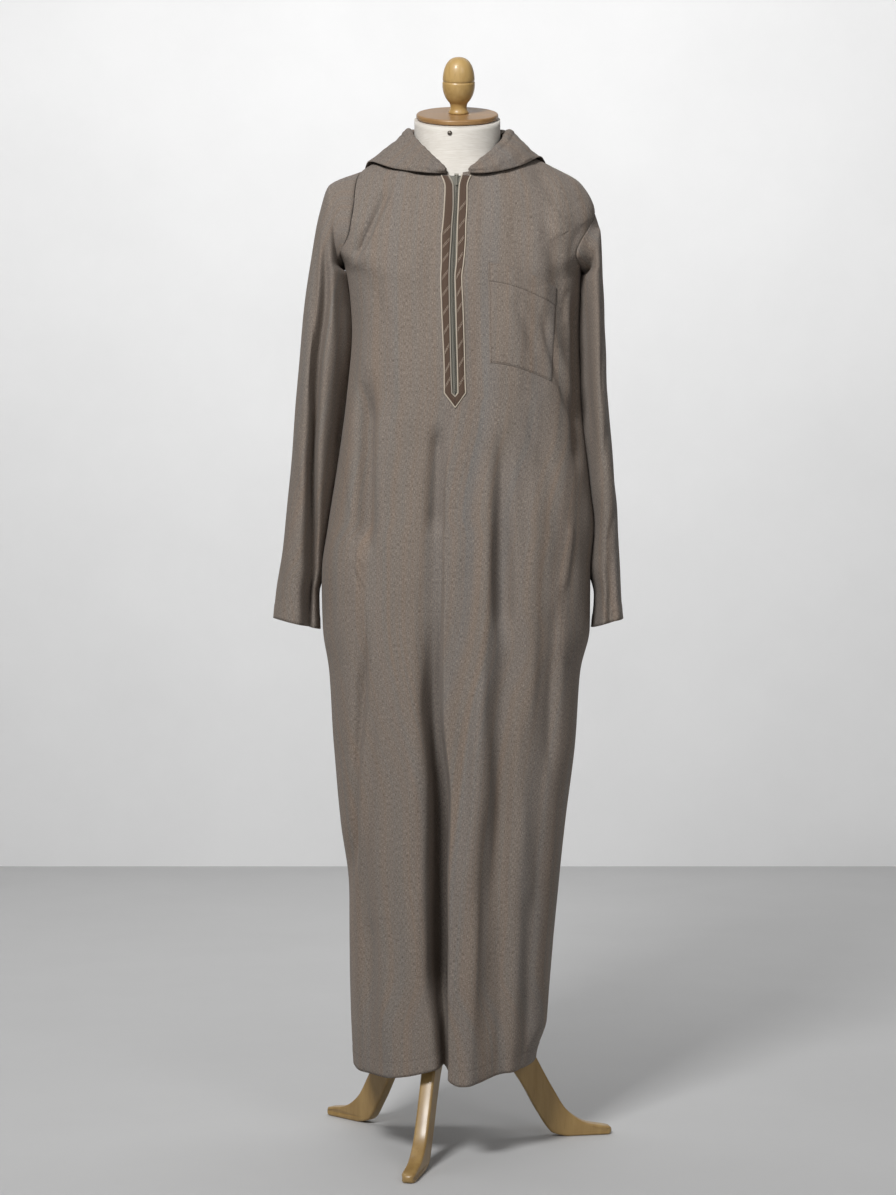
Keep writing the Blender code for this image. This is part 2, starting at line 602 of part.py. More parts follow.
def make_braid(side, lift):
    """One braid band from the neckline to the pointed end, where it is mitred."""
    outer = "outer_" + side
    inner = "inner_" + side
    sign = 1 if side == "right" else -1
    clear = CORD / 2 + 0.0006
    rows = []
    for z in np.linspace(TRIM[0].z - TRIM_START, TRIM[-1].z, TRIM_ROWS):
        start = trim_at(inner, z) + sign * clear
        end = trim_at(outer, z) - sign * clear
        rows.append([on_front(start + (end - start) * share, z, lift) for share in (0, 0.5, 1)])
    centre = BRAID_POINT[0] + sign * SEAM / 2
    tip = BRAID_POINT[1] + clear * 1.5
    top = BRAID_INNER_POINT[1] - clear * 1.5
    rows.append([on_front(centre, top + (tip - top) * share, lift) for share in (0, 0.5, 1)])
    points = np.array(rows)
    if side == "left":
        points = points[:, ::-1]
    return sheet_object("braid_" + side, points, BRAIDING, BRAID)


def tube_object(name, path, diameter, look):
    curve = bpy.data.curves.new(name, "CURVE")
    curve.dimensions = "3D"
    curve.bevel_depth = diameter / 2
    curve.bevel_resolution = 2
    curve.use_fill_caps = True
    spline = curve.splines.new("POLY")
    spline.points.add(len(path) - 1)
    for point, place in zip(spline.points, path):
        point.co = (*map(float, place), 1.0)
    obj = bpy.data.objects.new(name, curve)
    PARTS.objects.link(obj)
    return finish_object(obj, look)


def make_piping(name, field, point, lift):
    """Piping down one edge of the braid, round its pointed end and up the other edge."""
    heights = np.linspace(TRIM[0].z - TRIM_START, TRIM[-1].z, TRIM_ROWS)
    left = [on_front(trim_at(field + "_left", z), z, lift) for z in heights]
    right = [on_front(trim_at(field + "_right", z), z, lift) for z in heights[::-1]]
    tip = [on_front(point[0], point[1], lift)]
    return tube_object(name, left + tip + right, CORD, PIPING)


def make_zip(side, lift):
    """Half of the zip's tape, behind the edges of the slit."""
    sign = 1 if side == "right" else -1
    rows = []
    for z in np.linspace(TRIM[0].z - 0.002, SLIT_END_Z - 0.004, TAPE_ROWS):
        start = trim_at("zip", z) + sign * 0.0002
        end = trim_at("inner_" + side, z) + sign * TAPE_UNDER
        rows.append([on_front(start + (end - start) * share, z, lift) for share in (0, 1)])
    points = np.array(rows)
    if side == "left":
        points = points[:, ::-1]
    return sheet_object("zip_tape_" + side, points, ZIP_TAPE, TAPE)


def make_zip_chain(lift):
    rows = []
    for z in np.linspace(ZIP_SLIDER_Z - 0.006, SLIT_END_Z + 0.002, TAPE_ROWS):
        centre = trim_at("zip", z)
        rows.append([on_front(centre + share, z, lift) for share in (-HALF_CHAIN, HALF_CHAIN)])
    return sheet_object("zip_chain", np.array(rows), ZIP_METAL, CHAIN)


def make_patch(name, patch, lift, look, rows=8, columns=8):
    points = np.empty((rows, columns, 3))
    for row in range(rows):
        down = row / (rows - 1)
        start = patch.x_left_top + (patch.x_left_low - patch.x_left_top) * down
        end = patch.x_right_top + (patch.x_right_low - patch.x_right_top) * down
        z_start = patch.z_left_top + (patch.z_left_low - patch.z_left_top) * down
        z_end = patch.z_right_top + (patch.z_right_low - patch.z_right_top) * down
        for col in range(columns):
            share = col / (columns - 1)
            x = start + (end - start) * share
            z = z_start + (z_end - z_start) * share
            points[row, col] = on_front(x, z, lift)
    return sheet_object(name, points, look, CLOTH)


# ---------------------------------------------------------------- slider and pull tab
def box_mesh(bm, low, high):
    made = bmesh.ops.create_cube(bm, size=1.0)
    low, high = Vector(low), Vector(high)
    scale = Matrix.Diagonal((*(high - low), 1.0))
    bmesh.ops.transform(bm, matrix=Matrix.Translation((low + high) / 2) @ scale, verts=made["verts"])
    return made["verts"]


def object_from_bmesh(name, bm):
    mesh = bpy.data.meshes.new(name)
    bm.to_mesh(mesh)
    bm.free()
    obj = bpy.data.objects.new(name, mesh)
    PARTS.objects.link(obj)
    return obj


def cylinder_x(bm, radius, start, end, y, z, segments=16):
    made = bmesh.ops.create_cone(
        bm, cap_ends=True, segments=segments, radius1=radius, radius2=radius, depth=end - start
    )
    turn = Matrix.Rotation(math.radians(90), 4, "Y")
    place = Matrix.Translation(((start + end) / 2, y, z))
    bmesh.ops.transform(bm, matrix=place @ turn, verts=made["verts"])


def cutter(name, build):
    bm = bmesh.new()
    build(bm)
    mesh = bpy.data.meshes.new(name)
    bm.to_mesh(mesh)
    bm.free()
    obj = bpy.data.objects.new(name, mesh)
    CUTTERS.objects.link(obj)
    obj.hide_render = True
    obj.display_type = "WIRE"
    return obj


def boolean(obj, other, operation):
    other.parent = obj
    modifier = obj.modifiers.new(operation.lower(), "BOOLEAN")
    modifier.operation = operation
    modifier.solver = "EXACT"
    modifier.object = other


def zip_frame():
    """The slider's place: on the front's slope at the top of the zip."""
    x = trim_at("zip", ZIP_SLIDER_Z)
    place = on_front(x, ZIP_SLIDER_Z, 0.0)
    below = on_front(x, ZIP_SLIDER_Z - 0.02, 0.0)
    fall = Vector(below - place).normalized()
    slope = math.atan2(-fall.y, -fall.z)
    return Vector(place), slope


def place_on_slope(obj, place, slope):
    obj.location = (place[0], place[1] + STAND_Y, place[2])
    obj.rotation_euler = (-slope, 0.0, 0.0)


def make_slider_and_tab():
    place, slope = zip_frame()
    bm = bmesh.new()
    box_mesh(bm, (-0.0024, -0.0004, -0.0040), (0.0024, 0.0008, 0.0040))
    slider = object_from_bmesh("zip_slider", bm)
    for sign in (-1, 1):
        low, high = sorted((sign * 0.0023, sign * 0.0031))

        def cheek(bm, low=low, high=high):
            box_mesh(bm, (low, -HINGE_OUT - 0.0010, -0.0012), (high, 0.0002, 0.0012))

        boolean(slider, cutter(f"slider_cheek_{'right' if sign > 0 else 'left'}", cheek), "UNION")
    rod = cutter("slider_rod", lambda bm: cylinder_x(bm, 0.0005, -0.0027, 0.0027, -HINGE_OUT, 0.0, 12))
    boolean(slider, rod, "UNION")

    bm = bmesh.new()
    cylinder_x(bm, 0.0015, -TAB_WIDTH / 2, TAB_WIDTH / 2, 0.0, 0.0, 20)
    tab = object_from_bmesh("pull_tab", bm)

    def blade(bm):
        half = TAB_WIDTH / 2 - 0.0002
        box_mesh(bm, (-half, -TAB_THICK / 2, -TAB_LENGTH), (half, TAB_THICK / 2, -0.0011))

    boolean(tab, cutter("tab_blade", blade), "UNION")
    eye = cutter("tab_eye", lambda bm: cylinder_x(bm, 0.0009, -0.004, 0.004, 0.0, 0.0, 16))
    boolean(tab, eye, "DIFFERENCE")
    out = Vector((0.0, -math.cos(slope), math.sin(slope)))
    for obj in (slider, tab):
        obj.data.materials.append(material(*ZIP_METAL))
        obj.parent = ROOT
    place_on_slope(slider, place + out * 0.0012, slope)
    place_on_slope(tab, place + out * (0.0012 + HINGE_OUT), slope)
    return slider, tab


# ---------------------------------------------------------------- the dress form
def make_torso():
    """The form's body: a loft through its sections, closed above and below."""
    keys = range(len(TORSO))
    levels = np.linspace(0, len(TORSO) - 1, 2 * len(TORSO) - 1)
    at = {field: curve_through(keys, column(TORSO, field), levels)[:, None] for field in Ring._fields}
    turn = np.arange(TORSO_CORNERS) * 2 * math.pi / TORSO_CORNERS
    along_x = signed_power(np.cos(turn)[None], 2 / at["square"])
    along_y = signed_power(np.sin(turn)[None], 2 / at["square"])
    x = (at["x_left"] + at["x_right"]) / 2 + (at["x_right"] - at["x_left"]) / 2 * along_x
    y = np.where(along_y < 0, -at["y_front"], at["y_back"]) * along_y
    z = at["z"] + y * math.tan(CAP_TILT) * smoothstep((at["z"] - NECK_LEVEL_Z) / (TORSO[0].z - NECK_LEVEL_Z))
    points = np.stack([x, y, z], axis=-1)
    rows = len(levels)
    faces = []
    for row in range(rows - 1):
        for col in range(TORSO_CORNERS):
            after = (col + 1) % TORSO_CORNERS
            first = row * TORSO_CORNERS
            second = first + TORSO_CORNERS
            faces.append((first + col, second + col, second + after, first + after))
    faces.append(tuple(range(TORSO_CORNERS)))
    faces.append(tuple(reversed(range((rows - 1) * TORSO_CORNERS, rows * TORSO_CORNERS))))
    return mesh_object("torso_form", points.reshape(-1, 3), faces, CALICO)


def turned_object(name, profile, look, steps=28):
    """A turned piece: its profile, top to bottom, spun about its own axis."""
    mesh = bpy.data.meshes.new(name)
    edges = [(index, index + 1) for index in range(len(profile) - 1)]
    mesh.from_pydata([(radius, 0.0, height) for radius, height in profile], edges, [])
    obj = bpy.data.objects.new(name, mesh)
    PARTS.objects.link(obj)
    screw = obj.modifiers.new("turn", "SCREW")
    screw.axis = "Z"
    screw.steps = steps
    screw.render_steps = steps
    screw.use_merge_vertices = True
    screw.merge_threshold = 0.00005
    screw.use_smooth_shade = True
    return finish_object(obj, look)


def arc(centre_r, centre_z, radius_r, radius_z, start, end, steps):
    """Points of an elliptic arc of a profile, in degrees from +r towards +z."""
    points = []
    for step in range(steps + 1):
        angle = math.radians(start + (end - start) * step / steps)
        points.append((centre_r + radius_r * math.cos(angle), centre_z + radius_z * math.sin(angle)))
    return points


def make_cap_and_finial():
    rim = CAP_THICK / 2
    profile = [(0.0, rim)]
    profile += arc(CAP_R - 0.003, rim - 0.003, 0.003, 0.003, 90, 0, 4)
    profile += arc(CAP_R - 0.003, -rim + 0.003, 0.003, 0.003, 0, -90, 4)
    profile += [(0.0, -rim)]
    cap = turned_object("neck_cap", profile, BEECH, 36)
    cap.location = (NECK_X, STAND_Y, CAP_Z)
    cap.rotation_euler = (CAP_TILT, 0.0, 0.0)
    # The egg-shaped knob stands on a short stem, with a turned groove at its widest.
    profile = arc(0.0, 1.6515, 0.0250, 0.0405, 90, 12, 10)
    profile += [(0.0240, 1.6560), (0.0252, 1.6540)]
    profile += arc(0.0, 1.6500, 0.0252, 0.0330, 0, -55, 7)
    profile += [(0.0130, 1.6180), (0.0140, 1.6120), (0.0155, 1.6065), (0.0, 1.6065)]
    low = profile[-1][1]
    profile = [(radius, height - low) for radius, height in profile]
    knob = turned_object("finial", profile, BEECH, 20)
    out = Matrix.Rotation(CAP_TILT, 3, "X") @ Vector((0.0, 0.0, rim + 0.0003))
    knob.location = (NECK_X + 0.002, STAND_Y + out.y, CAP_Z + out.z)
    knob.rotation_euler = (CAP_TILT, 0.0, 0.0)


def make_pin():
    profile = [(0.0, 0.0035)] + arc(0.0, 0.0010, 0.0036, 0.0024, 80, 0, 5) + [(0.0034, 0.0003), (0.0, 0.0003)]
    pin = turned_object("neck_pin", profile, STEEL, 16)
    lean = PIN_X - NECK_X
    forward = -math.sqrt(PIN_REACH**2 - lean**2)
    pin.location = (PIN_X, STAND_Y + forward, PIN_Z)
    pin.rotation_euler = (math.radians(90), 0.0, math.asin(lean / PIN_REACH))


def make_pole_and_hub():
    top = TORSO[-1].z - 0.0003
    low = HUB_TOP_Z + 0.0003
    pole = [(0.0, top), (POLE_R, top), (POLE_R, low), (0.0, low)]
    turned_object("pole", pole, BEECH, 20)
    hub = [(0.0, HUB_TOP_Z), (0.0200, HUB_TOP_Z)]
    hub += arc(0.0200, HUB_TOP_Z - 0.010, 0.0090, 0.0100, 90, 0, 4)
    hub += [(0.0290, 0.150)]
    hub += arc(0.0200, 0.146, 0.0090, 0.0160, 0, -70, 5)
    hub += [(0.0140, 0.1240), (0.0, 0.1240)]
    turned_object("hub", hub, BEECH, 24)


def leg_outline():
    """The S-curved board from root to toe: (reach from the pole, height) of its outline."""
    upper = [
        (LEG_ROOT, 0.2340),
        (0.0700, 0.2240),
        (0.1080, 0.1860),
        (0.1370, 0.1300),
        (0.1640, 0.0800),
        (0.1900, 0.0400),
        (0.2220, 0.0190),
        (0.2540, 0.0125),
    ]
    toe = [(LEG_TOE, 0.0062), (0.2560, 0.0)]
    lower = [(0.1880, 0.0), (0.1660, 0.0060), (0.1400, 0.0420), (0.1140, 0.0880), (0.0800, 0.1320), (LEG_ROOT, 0.1560)]
    return upper, toe, lower


def smooth_line(points, per_span):
    keys = np.arange(len(points))
    at = np.linspace(0, len(points) - 1, (len(points) - 1) * per_span + 1)
    return [
        (float(r), float(z))
        for r, z in zip(
            curve_through(keys, [p[0] for p in points], at),
            curve_through(keys, [p[1] for p in points], at),
        )
    ]


def make_leg(name, heading):
    upper, toe, lower = leg_outline()
    outline = smooth_line(upper, 3) + toe + [lower[0]] + smooth_line(lower[1:], 3)
    curve = bpy.data.curves.new("leg_" + name, "CURVE")
    curve.dimensions = "2D"
    curve.fill_mode = "BOTH"
    curve.extrude = LEG_THICK / 2
    spline = curve.splines.new("POLY")
    spline.points.add(len(outline) - 1)
    spline.use_cyclic_u = True
    for point, (reach, height) in zip(spline.points, outline):
        point.co = (reach, height, 0.0, 1.0)
    obj = bpy.data.objects.new("leg_" + name, curve)
    PARTS.objects.link(obj)
    obj.rotation_euler = (math.radians(90), 0.0, math.radians(heading))
    return finish_object(obj, BEECH)


# ---------------------------------------------------------------- building
PARTS = clear_scene()
CUTTERS = bpy.data.collections.new("cutters")
bpy.context.scene.collection.children.link(CUTTERS)
ROOT = bpy.data.objects.new("stand_root", None)
PARTS.objects.link(ROOT)

LEVELS = body_levels()
FRONT_TREE = panel_tree(make_front(LEVELS))
make_back(LEVELS)
for side in ("left", "right"):
    make_sleeve(side, LEVELS)
    make_hood(side)

BRAID_LIFT = CLOTH / 2 + 0.0008 + BRAID / 2
for side in ("left", "right"):
    make_braid(side, BRAID_LIFT)
    make_zip(side, -CLOTH / 2 - 0.0009)
make_zip_chain(0.0002)
CORD_LIFT = CLOTH / 2 + 0.0007 + CORD / 2
make_piping("piping_outer", "outer", BRAID_POINT, CORD_LIFT)
make_piping("piping_inner", "inner", BRAID_INNER_POINT, CORD_LIFT)
make_slider_and_tab()

make_patch("chest_pocket", CHEST_POCKET, CLOTH + 0.0010, WOOL, 12, 12)
for side in ("left", "right"):
    make_patch("pocket_bag_" + side, POCKET_BAGS[side], -CLOTH - 0.0014, WOOL, 10, 6)

make_torso()
make_cap_and_finial()
make_pin()
make_pole_and_hub()
for name, heading in LEG_HEADINGS.items():
    make_leg(name, heading)
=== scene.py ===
# %% [markdown]
# # A hooded wool djellaba on its dress form
# The robe hangs on a padded form with a turned wooden cap, on a three-legged stand. The
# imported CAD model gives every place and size. This script dresses it: fine cloth surfaces
# with their creases, braid, cord, stitches, wood and calico, all in metres, +Z up.

# %% The frame and the tools
import math
from collections import namedtuple

import bmesh
import bpy
import numpy as np
from mathutils import Matrix, Vector
from mathutils.bvhtree import BVHTree


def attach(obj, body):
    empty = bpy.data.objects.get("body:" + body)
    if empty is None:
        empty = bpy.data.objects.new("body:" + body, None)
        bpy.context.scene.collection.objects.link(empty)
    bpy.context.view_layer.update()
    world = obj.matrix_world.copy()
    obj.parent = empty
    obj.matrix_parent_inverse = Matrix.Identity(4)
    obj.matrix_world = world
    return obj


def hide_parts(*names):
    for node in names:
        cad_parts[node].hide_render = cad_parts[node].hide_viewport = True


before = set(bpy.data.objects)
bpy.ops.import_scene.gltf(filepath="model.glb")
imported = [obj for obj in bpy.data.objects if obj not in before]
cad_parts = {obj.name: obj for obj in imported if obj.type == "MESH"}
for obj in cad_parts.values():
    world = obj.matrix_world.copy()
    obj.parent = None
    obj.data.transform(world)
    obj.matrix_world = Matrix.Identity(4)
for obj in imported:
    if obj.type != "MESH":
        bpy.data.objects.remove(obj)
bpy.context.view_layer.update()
print("nodes in the frame:", len(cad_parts))

# %% [markdown]
# ## Camera
# The camera stands level in front of the robe, at half of its height. A 36 mm sensor with
# a 65.7 mm lens, from 3.4 m away, sees the whole stand.

# %% Camera
STAND_Y = 0.038            # the pole's axis in the part's own frame
CAMERA_AWAY = 3.4
CAMERA_HEIGHT = 0.846
CAMERA_LENS = 65.7

camera_data = bpy.data.cameras.new("camera")
camera_data.lens = CAMERA_LENS
camera_data.sensor_width = 36.0
camera = bpy.data.objects.new("camera", camera_data)
camera.location = (0.0, STAND_Y - CAMERA_AWAY, CAMERA_HEIGHT)
camera.rotation_euler = (math.radians(90), 0.0, 0.0)
bpy.context.scene.collection.objects.link(camera)
bpy.context.scene.camera = camera
print("camera at", tuple(round(v, 3) for v in camera.location))

# %% [markdown]
# ## Shader values as Python expressions
# A small class wraps a node's output, so that sums and products of values read like
# formulas and each one adds its Math node. One method makes every other kind of node.

# %% Shader helpers
class Value:
    """The output of a shader node, with arithmetic."""

    def __init__(self, look, socket):
        self.look = look
        self.socket = socket

    def math(self, operation, *others):
        sockets = dict(enumerate((self, *others)))
        return self.look.node("ShaderNodeMath", {"operation": operation}, sockets)

    def __add__(self, other):
        return self.math("ADD", other)

    __radd__ = __add__

    def __sub__(self, other):
        return self.math("SUBTRACT", other)

    def __rsub__(self, other):
        return self.look.node("ShaderNodeMath", {"operation": "SUBTRACT"}, {0: other, 1: self})

    def __mul__(self, other):
        return self.math("MULTIPLY", other)

    def sine(self):
        return self.math("SINE")

    def clamped(self):
        return self.look.node("ShaderNodeClamp", {}, {"Value": self})


class Look:
    """A material under construction."""

    def __init__(self, name):
        self.material = bpy.data.materials.new(name)
        self.material.use_nodes = True
        self.tree = self.material.node_tree
        self.shader = self.tree.nodes["Principled BSDF"]

    def node(self, kind, settings=None, sockets=None, out=0):
        made = self.tree.nodes.new(kind)
        for key, value in (settings or {}).items():
            setattr(made, key, value)
        for key, value in (sockets or {}).items():
            self.feed(made.inputs[key], value)
        return Value(self, made.outputs[out])

    def feed(self, socket, value):
        if isinstance(value, Value):
            self.tree.links.new(value.socket, socket)
        elif isinstance(value, (tuple, list)) and len(value) == 3 and socket.type == "RGBA":
            socket.default_value = (*value, 1.0)
        else:
            socket.default_value = value

    def shade(self, **sockets):
        for name, value in sockets.items():
            self.feed(self.shader.inputs[name.replace("_", " ")], value)
        return self.material

    def mix(self, factor, first, second):
        return self.node("ShaderNodeMix", {"data_type": "RGBA"}, {0: factor, 6: first, 7: second}, out=2)

    def scaled(self, vector, scale):
        return self.node("ShaderNodeVectorMath", {"operation": "MULTIPLY"}, {0: vector, 1: scale})

    def place(self):
        return self.node("ShaderNodeTexCoord", out=3)

    def cut(self):
        return self.node("ShaderNodeUVMap", {"uv_map": "cut"})

    def parts(self, vector):
        split = self.node("ShaderNodeSeparateXYZ", {}, {0: vector})
        return [Value(self, output) for output in split.socket.node.outputs]

    def across_along(self):
        return self.parts(self.cut())[:2]

    def noise(self, vector, scale, detail=2.0, roughness=0.5):
        sockets = {"Vector": vector, "Scale": scale, "Detail": detail, "Roughness": roughness}
        return self.node("ShaderNodeTexNoise", {}, sockets)

    def bump(self, height, distance, strength=1.0, under=None):
        sockets = {"Height": height, "Distance": distance, "Strength": strength}
        if under is not None:
            sockets["Normal"] = under
        return self.node("ShaderNodeBump", {}, sockets)


# %% [markdown]
# ## The wool
# The cloth is a fine heathered twill: brown, grey and rosy yarns mixed in narrow warp
# stripes. The pattern reads the "cut" map, which holds the flat cloth's own metres, so
# the stripes run down each piece as they run down the bolt. Threads and twill are
# fractions of a millimetre, so they are bump and colour. Creases are real geometry.

# %% Wool
TURN = 2 * math.pi
STRIPE = 0.0034            # from one fine warp stripe to the next
TWILL = 0.0011             # from one twill rib to the next
YARNS = [                  # brown, grey, pale fleck, dark fleck and bluish stripe
    (0.218, 0.165, 0.128),
    (0.186, 0.166, 0.147),
    (0.420, 0.356, 0.296),
    (0.060, 0.044, 0.034),
    (0.172, 0.174, 0.176),
]


def wool(name, tone=1.0):
    look = Look(name)
    across, along = look.across_along()
    cut = look.cut()
    waver = look.noise(look.scaled(cut, (40.0, 3.0, 1.0)), 1.0, 2.0) * 0.0012
    fine = ((across + waver) * (TURN / STRIPE)).sine()
    broad = look.noise(look.scaled(cut, (95.0, 1.2, 1.0)), 1.0, 2.0, 0.6)
    bands = look.noise(look.scaled(cut, (26.0, 0.6, 1.0)), 1.0, 1.0)
    threads = look.noise(look.scaled(cut, (1500.0, 210.0, 1.0)), 1.0, 2.0, 0.6)
    picks = look.noise(look.scaled(cut, (230.0, 1400.0, 1.0)), 1.0, 2.0, 0.6)
    heather = threads * 0.58 + picks * 0.42
    fleck = look.noise(look.scaled(cut, (1500.0, 700.0, 1.0)), 1.0, 1.0)
    # tone scales every yarn colour; below 1 it makes a darker copy of the wool, as painted shade
    brown, grey, pale, dark, blue = [tuple(tone * v for v in yarn) for yarn in YARNS]
    hue = look.mix((broad * 2.2 - 0.6 + fine * 0.10).clamped(), grey, brown)
    hue = look.mix(((bands - 0.5) * 2.6 + 0.10).clamped() * 0.55, hue, blue)
    hue = look.mix(((heather - 0.52) * 9.0 + fine * 0.15).clamped() * 0.50, hue, pale)
    hue = look.mix(((0.49 - heather) * 9.0 + (fleck - 0.5)).clamped() * 0.68, hue, dark)
    twill = ((across * 0.78 + along) * (TURN / TWILL)).sine()
    nap = look.noise(look.scaled(cut, (900.0, 900.0, 1.0)), 1.0, 2.0, 0.6)
    weave = look.bump(twill * 0.35 + nap, 0.00035, 0.55)
    crumple = look.noise(look.place(), 28.0, 3.0, 0.55)
    relief = look.bump(crumple, 0.0010, 0.4, under=weave)
    rough = 0.82 + nap * 0.12
    return look.shade(
        Base_Color=hue, Roughness=rough, Normal=relief,
        Sheen_Weight=0.12, Sheen_Roughness=0.45, Sheen_Tint=(0.80, 0.72, 0.66), Specular_IOR_Level=0.22,
    )


WOOL = wool("heathered_wool")
# The hood's copy of the wool is 7% darker: painted shade over the hood.
WOOL_HOOD_PAINTED_SHADE = wool("heathered_wool_hood_painted_shade", 0.93)
print("wool made")

# %% [markdown]
# ## The other finishes
# The trimming is a dark herringbone braid edged with pale cord. The form is covered in
# calico, a plain unbleached cotton, and the wood is varnished beech with its long grain.

# %% Braid, cord, thread and tape
def braid_finish():
    look = Look("herringbone_braid")
    across, along = look.across_along()
    ribs = ((along + across.math("ABSOLUTE")) * (TURN / 0.0022)).sine()
    fuzz = look.noise(look.scaled(look.cut(), (900.0, 900.0, 1.0)), 1.0, 2.0)
    tint = look.mix((ribs * 0.3 + fuzz).clamped(), (0.034, 0.019, 0.012), (0.128, 0.078, 0.050))
    return look.shade(
        Base_Color=tint, Roughness=0.55 + fuzz * 0.3, Normal=look.bump(ribs * 0.5 + fuzz, 0.0004, 0.7),
        Sheen_Weight=0.3, Sheen_Roughness=0.4, Specular_IOR_Level=0.35,
    )


def thread_finish(name, pale, dark, scale=1800.0, shine=0.5):
    look = Look(name)
    grain = look.noise(look.place(), scale, 2.0)
    tint = look.mix(grain, dark, pale)
    return look.shade(
        Base_Color=tint, Roughness=1.0 - shine * 0.6 + grain * 0.1, Normal=look.bump(grain, 0.0002, 0.5),
        Sheen_Weight=0.25, Specular_IOR_Level=0.3,
    )


BRAID_LOOK = braid_finish()
CORD_LOOK = thread_finish("cream_cord", (0.62, 0.55, 0.45), (0.33, 0.27, 0.20))
# A darker copy of the same cream cord, for the inner left cord: painted shade.
CORD_PAINTED_SHADE_LOOK = thread_finish("cream_cord_painted_shade", (0.46, 0.41, 0.34), (0.22, 0.19, 0.15))
THREAD_LOOK = thread_finish("brown_thread", (0.110, 0.085, 0.068), (0.055, 0.042, 0.034))
CREAM_THREAD_LOOK = thread_finish("cream_thread", (0.62, 0.53, 0.42), (0.42, 0.34, 0.26))
TAPE_LOOK = thread_finish("zip_tape_cloth", (0.215, 0.205, 0.175), (0.125, 0.120, 0.100), 1300.0, 0.2)

# %% Calico
def calico_finish():
    look = Look("calico")
    place = look.place()
    x, y, z = look.parts(place)
    weft = (z * (TURN / 0.0009)).sine()
    warp = ((x + y) * (TURN / 0.0012)).sine()
    slub = look.noise(look.scaled(place, (60.0, 60.0, 700.0)), 1.0, 2.0, 0.6)
    soil = look.noise(place, 9.0, 3.0, 0.6)
    tint = look.mix((slub * 1.6 - 0.45).clamped(), (0.60, 0.56, 0.50), (0.74, 0.71, 0.66))
    tint = look.mix((soil * 2.4 - 1.05).clamped() * 0.25, tint, (0.50, 0.44, 0.36))
    weave = look.bump(weft * 0.4 + warp * 0.4 + slub, 0.0003, 0.35)
    return look.shade(Base_Color=tint, Roughness=0.80 + slub * 0.12, Normal=weave, Sheen_Weight=0.15)


CALICO_LOOK = calico_finish()

# %% Wood and metal
def wood_finish(name, grain_scale, pale, dark):
    """Varnished beech: long streaks and short flecks along the grain."""
    look = Look(name)
    place = look.place()
    streaks = look.noise(look.scaled(place, grain_scale), 1.0, 4.0, 0.62)
    flecks = look.noise(look.scaled(place, tuple(v * 4.5 for v in grain_scale)), 1.0, 2.0, 0.7)
    tone = look.noise(place, 7.0, 2.0)
    tint = look.mix((streaks * 2.2 - 0.6).clamped(), dark, pale)
    tint = look.mix(((flecks - 0.60) * 6.0).clamped() * 0.35, tint, tuple(v * 0.55 for v in dark))
    tint = look.mix((tone - 0.35).clamped() * 0.5, tint, tuple(v * 0.86 for v in pale))
    relief = look.bump(streaks + flecks * 0.5, 0.0003, 0.25)
    return look.shade(
        Base_Color=tint, Roughness=0.38 + streaks * 0.20, Normal=relief,
        Coat_Weight=0.35, Coat_Roughness=0.22, Specular_IOR_Level=0.5,
    )


def metal_finish(name, tint, rough):
    look = Look(name)
    wear = look.noise(look.place(), 900.0, 3.0)
    colour = look.mix(wear, tuple(v * 0.72 for v in tint), tint)
    relief = look.bump(wear, 0.0001, 0.3)
    return look.shade(Base_Color=colour, Roughness=rough + wear * 0.2, Metallic=1.0, Normal=relief)


LEG_LOOK = wood_finish("beech_legs", (60.0, 60.0, 9.0), (0.40, 0.262, 0.098), (0.270, 0.160, 0.050))
KNOB_LOOK = wood_finish("beech_knob", (70.0, 70.0, 11.0), (0.52, 0.345, 0.130), (0.37, 0.225, 0.070))
CAP_LOOK = wood_finish("beech_cap", (14.0, 120.0, 120.0), (0.36, 0.205, 0.078), (0.24, 0.125, 0.044))
STEEL_LOOK = metal_finish("steel", (0.16, 0.14, 0.12), 0.35)
ZIP_LOOK = metal_finish("zip_metal", (0.42, 0.40, 0.34), 0.38)
print("finishes:", len(bpy.data.materials))

# %% [markdown]
# ## The robe's form in numbers
# The robe is a loft through tilted horizontal sections. The tables below hold the same
# sizes as the solid model. Every piece of cloth is drawn again on them, far more finely.

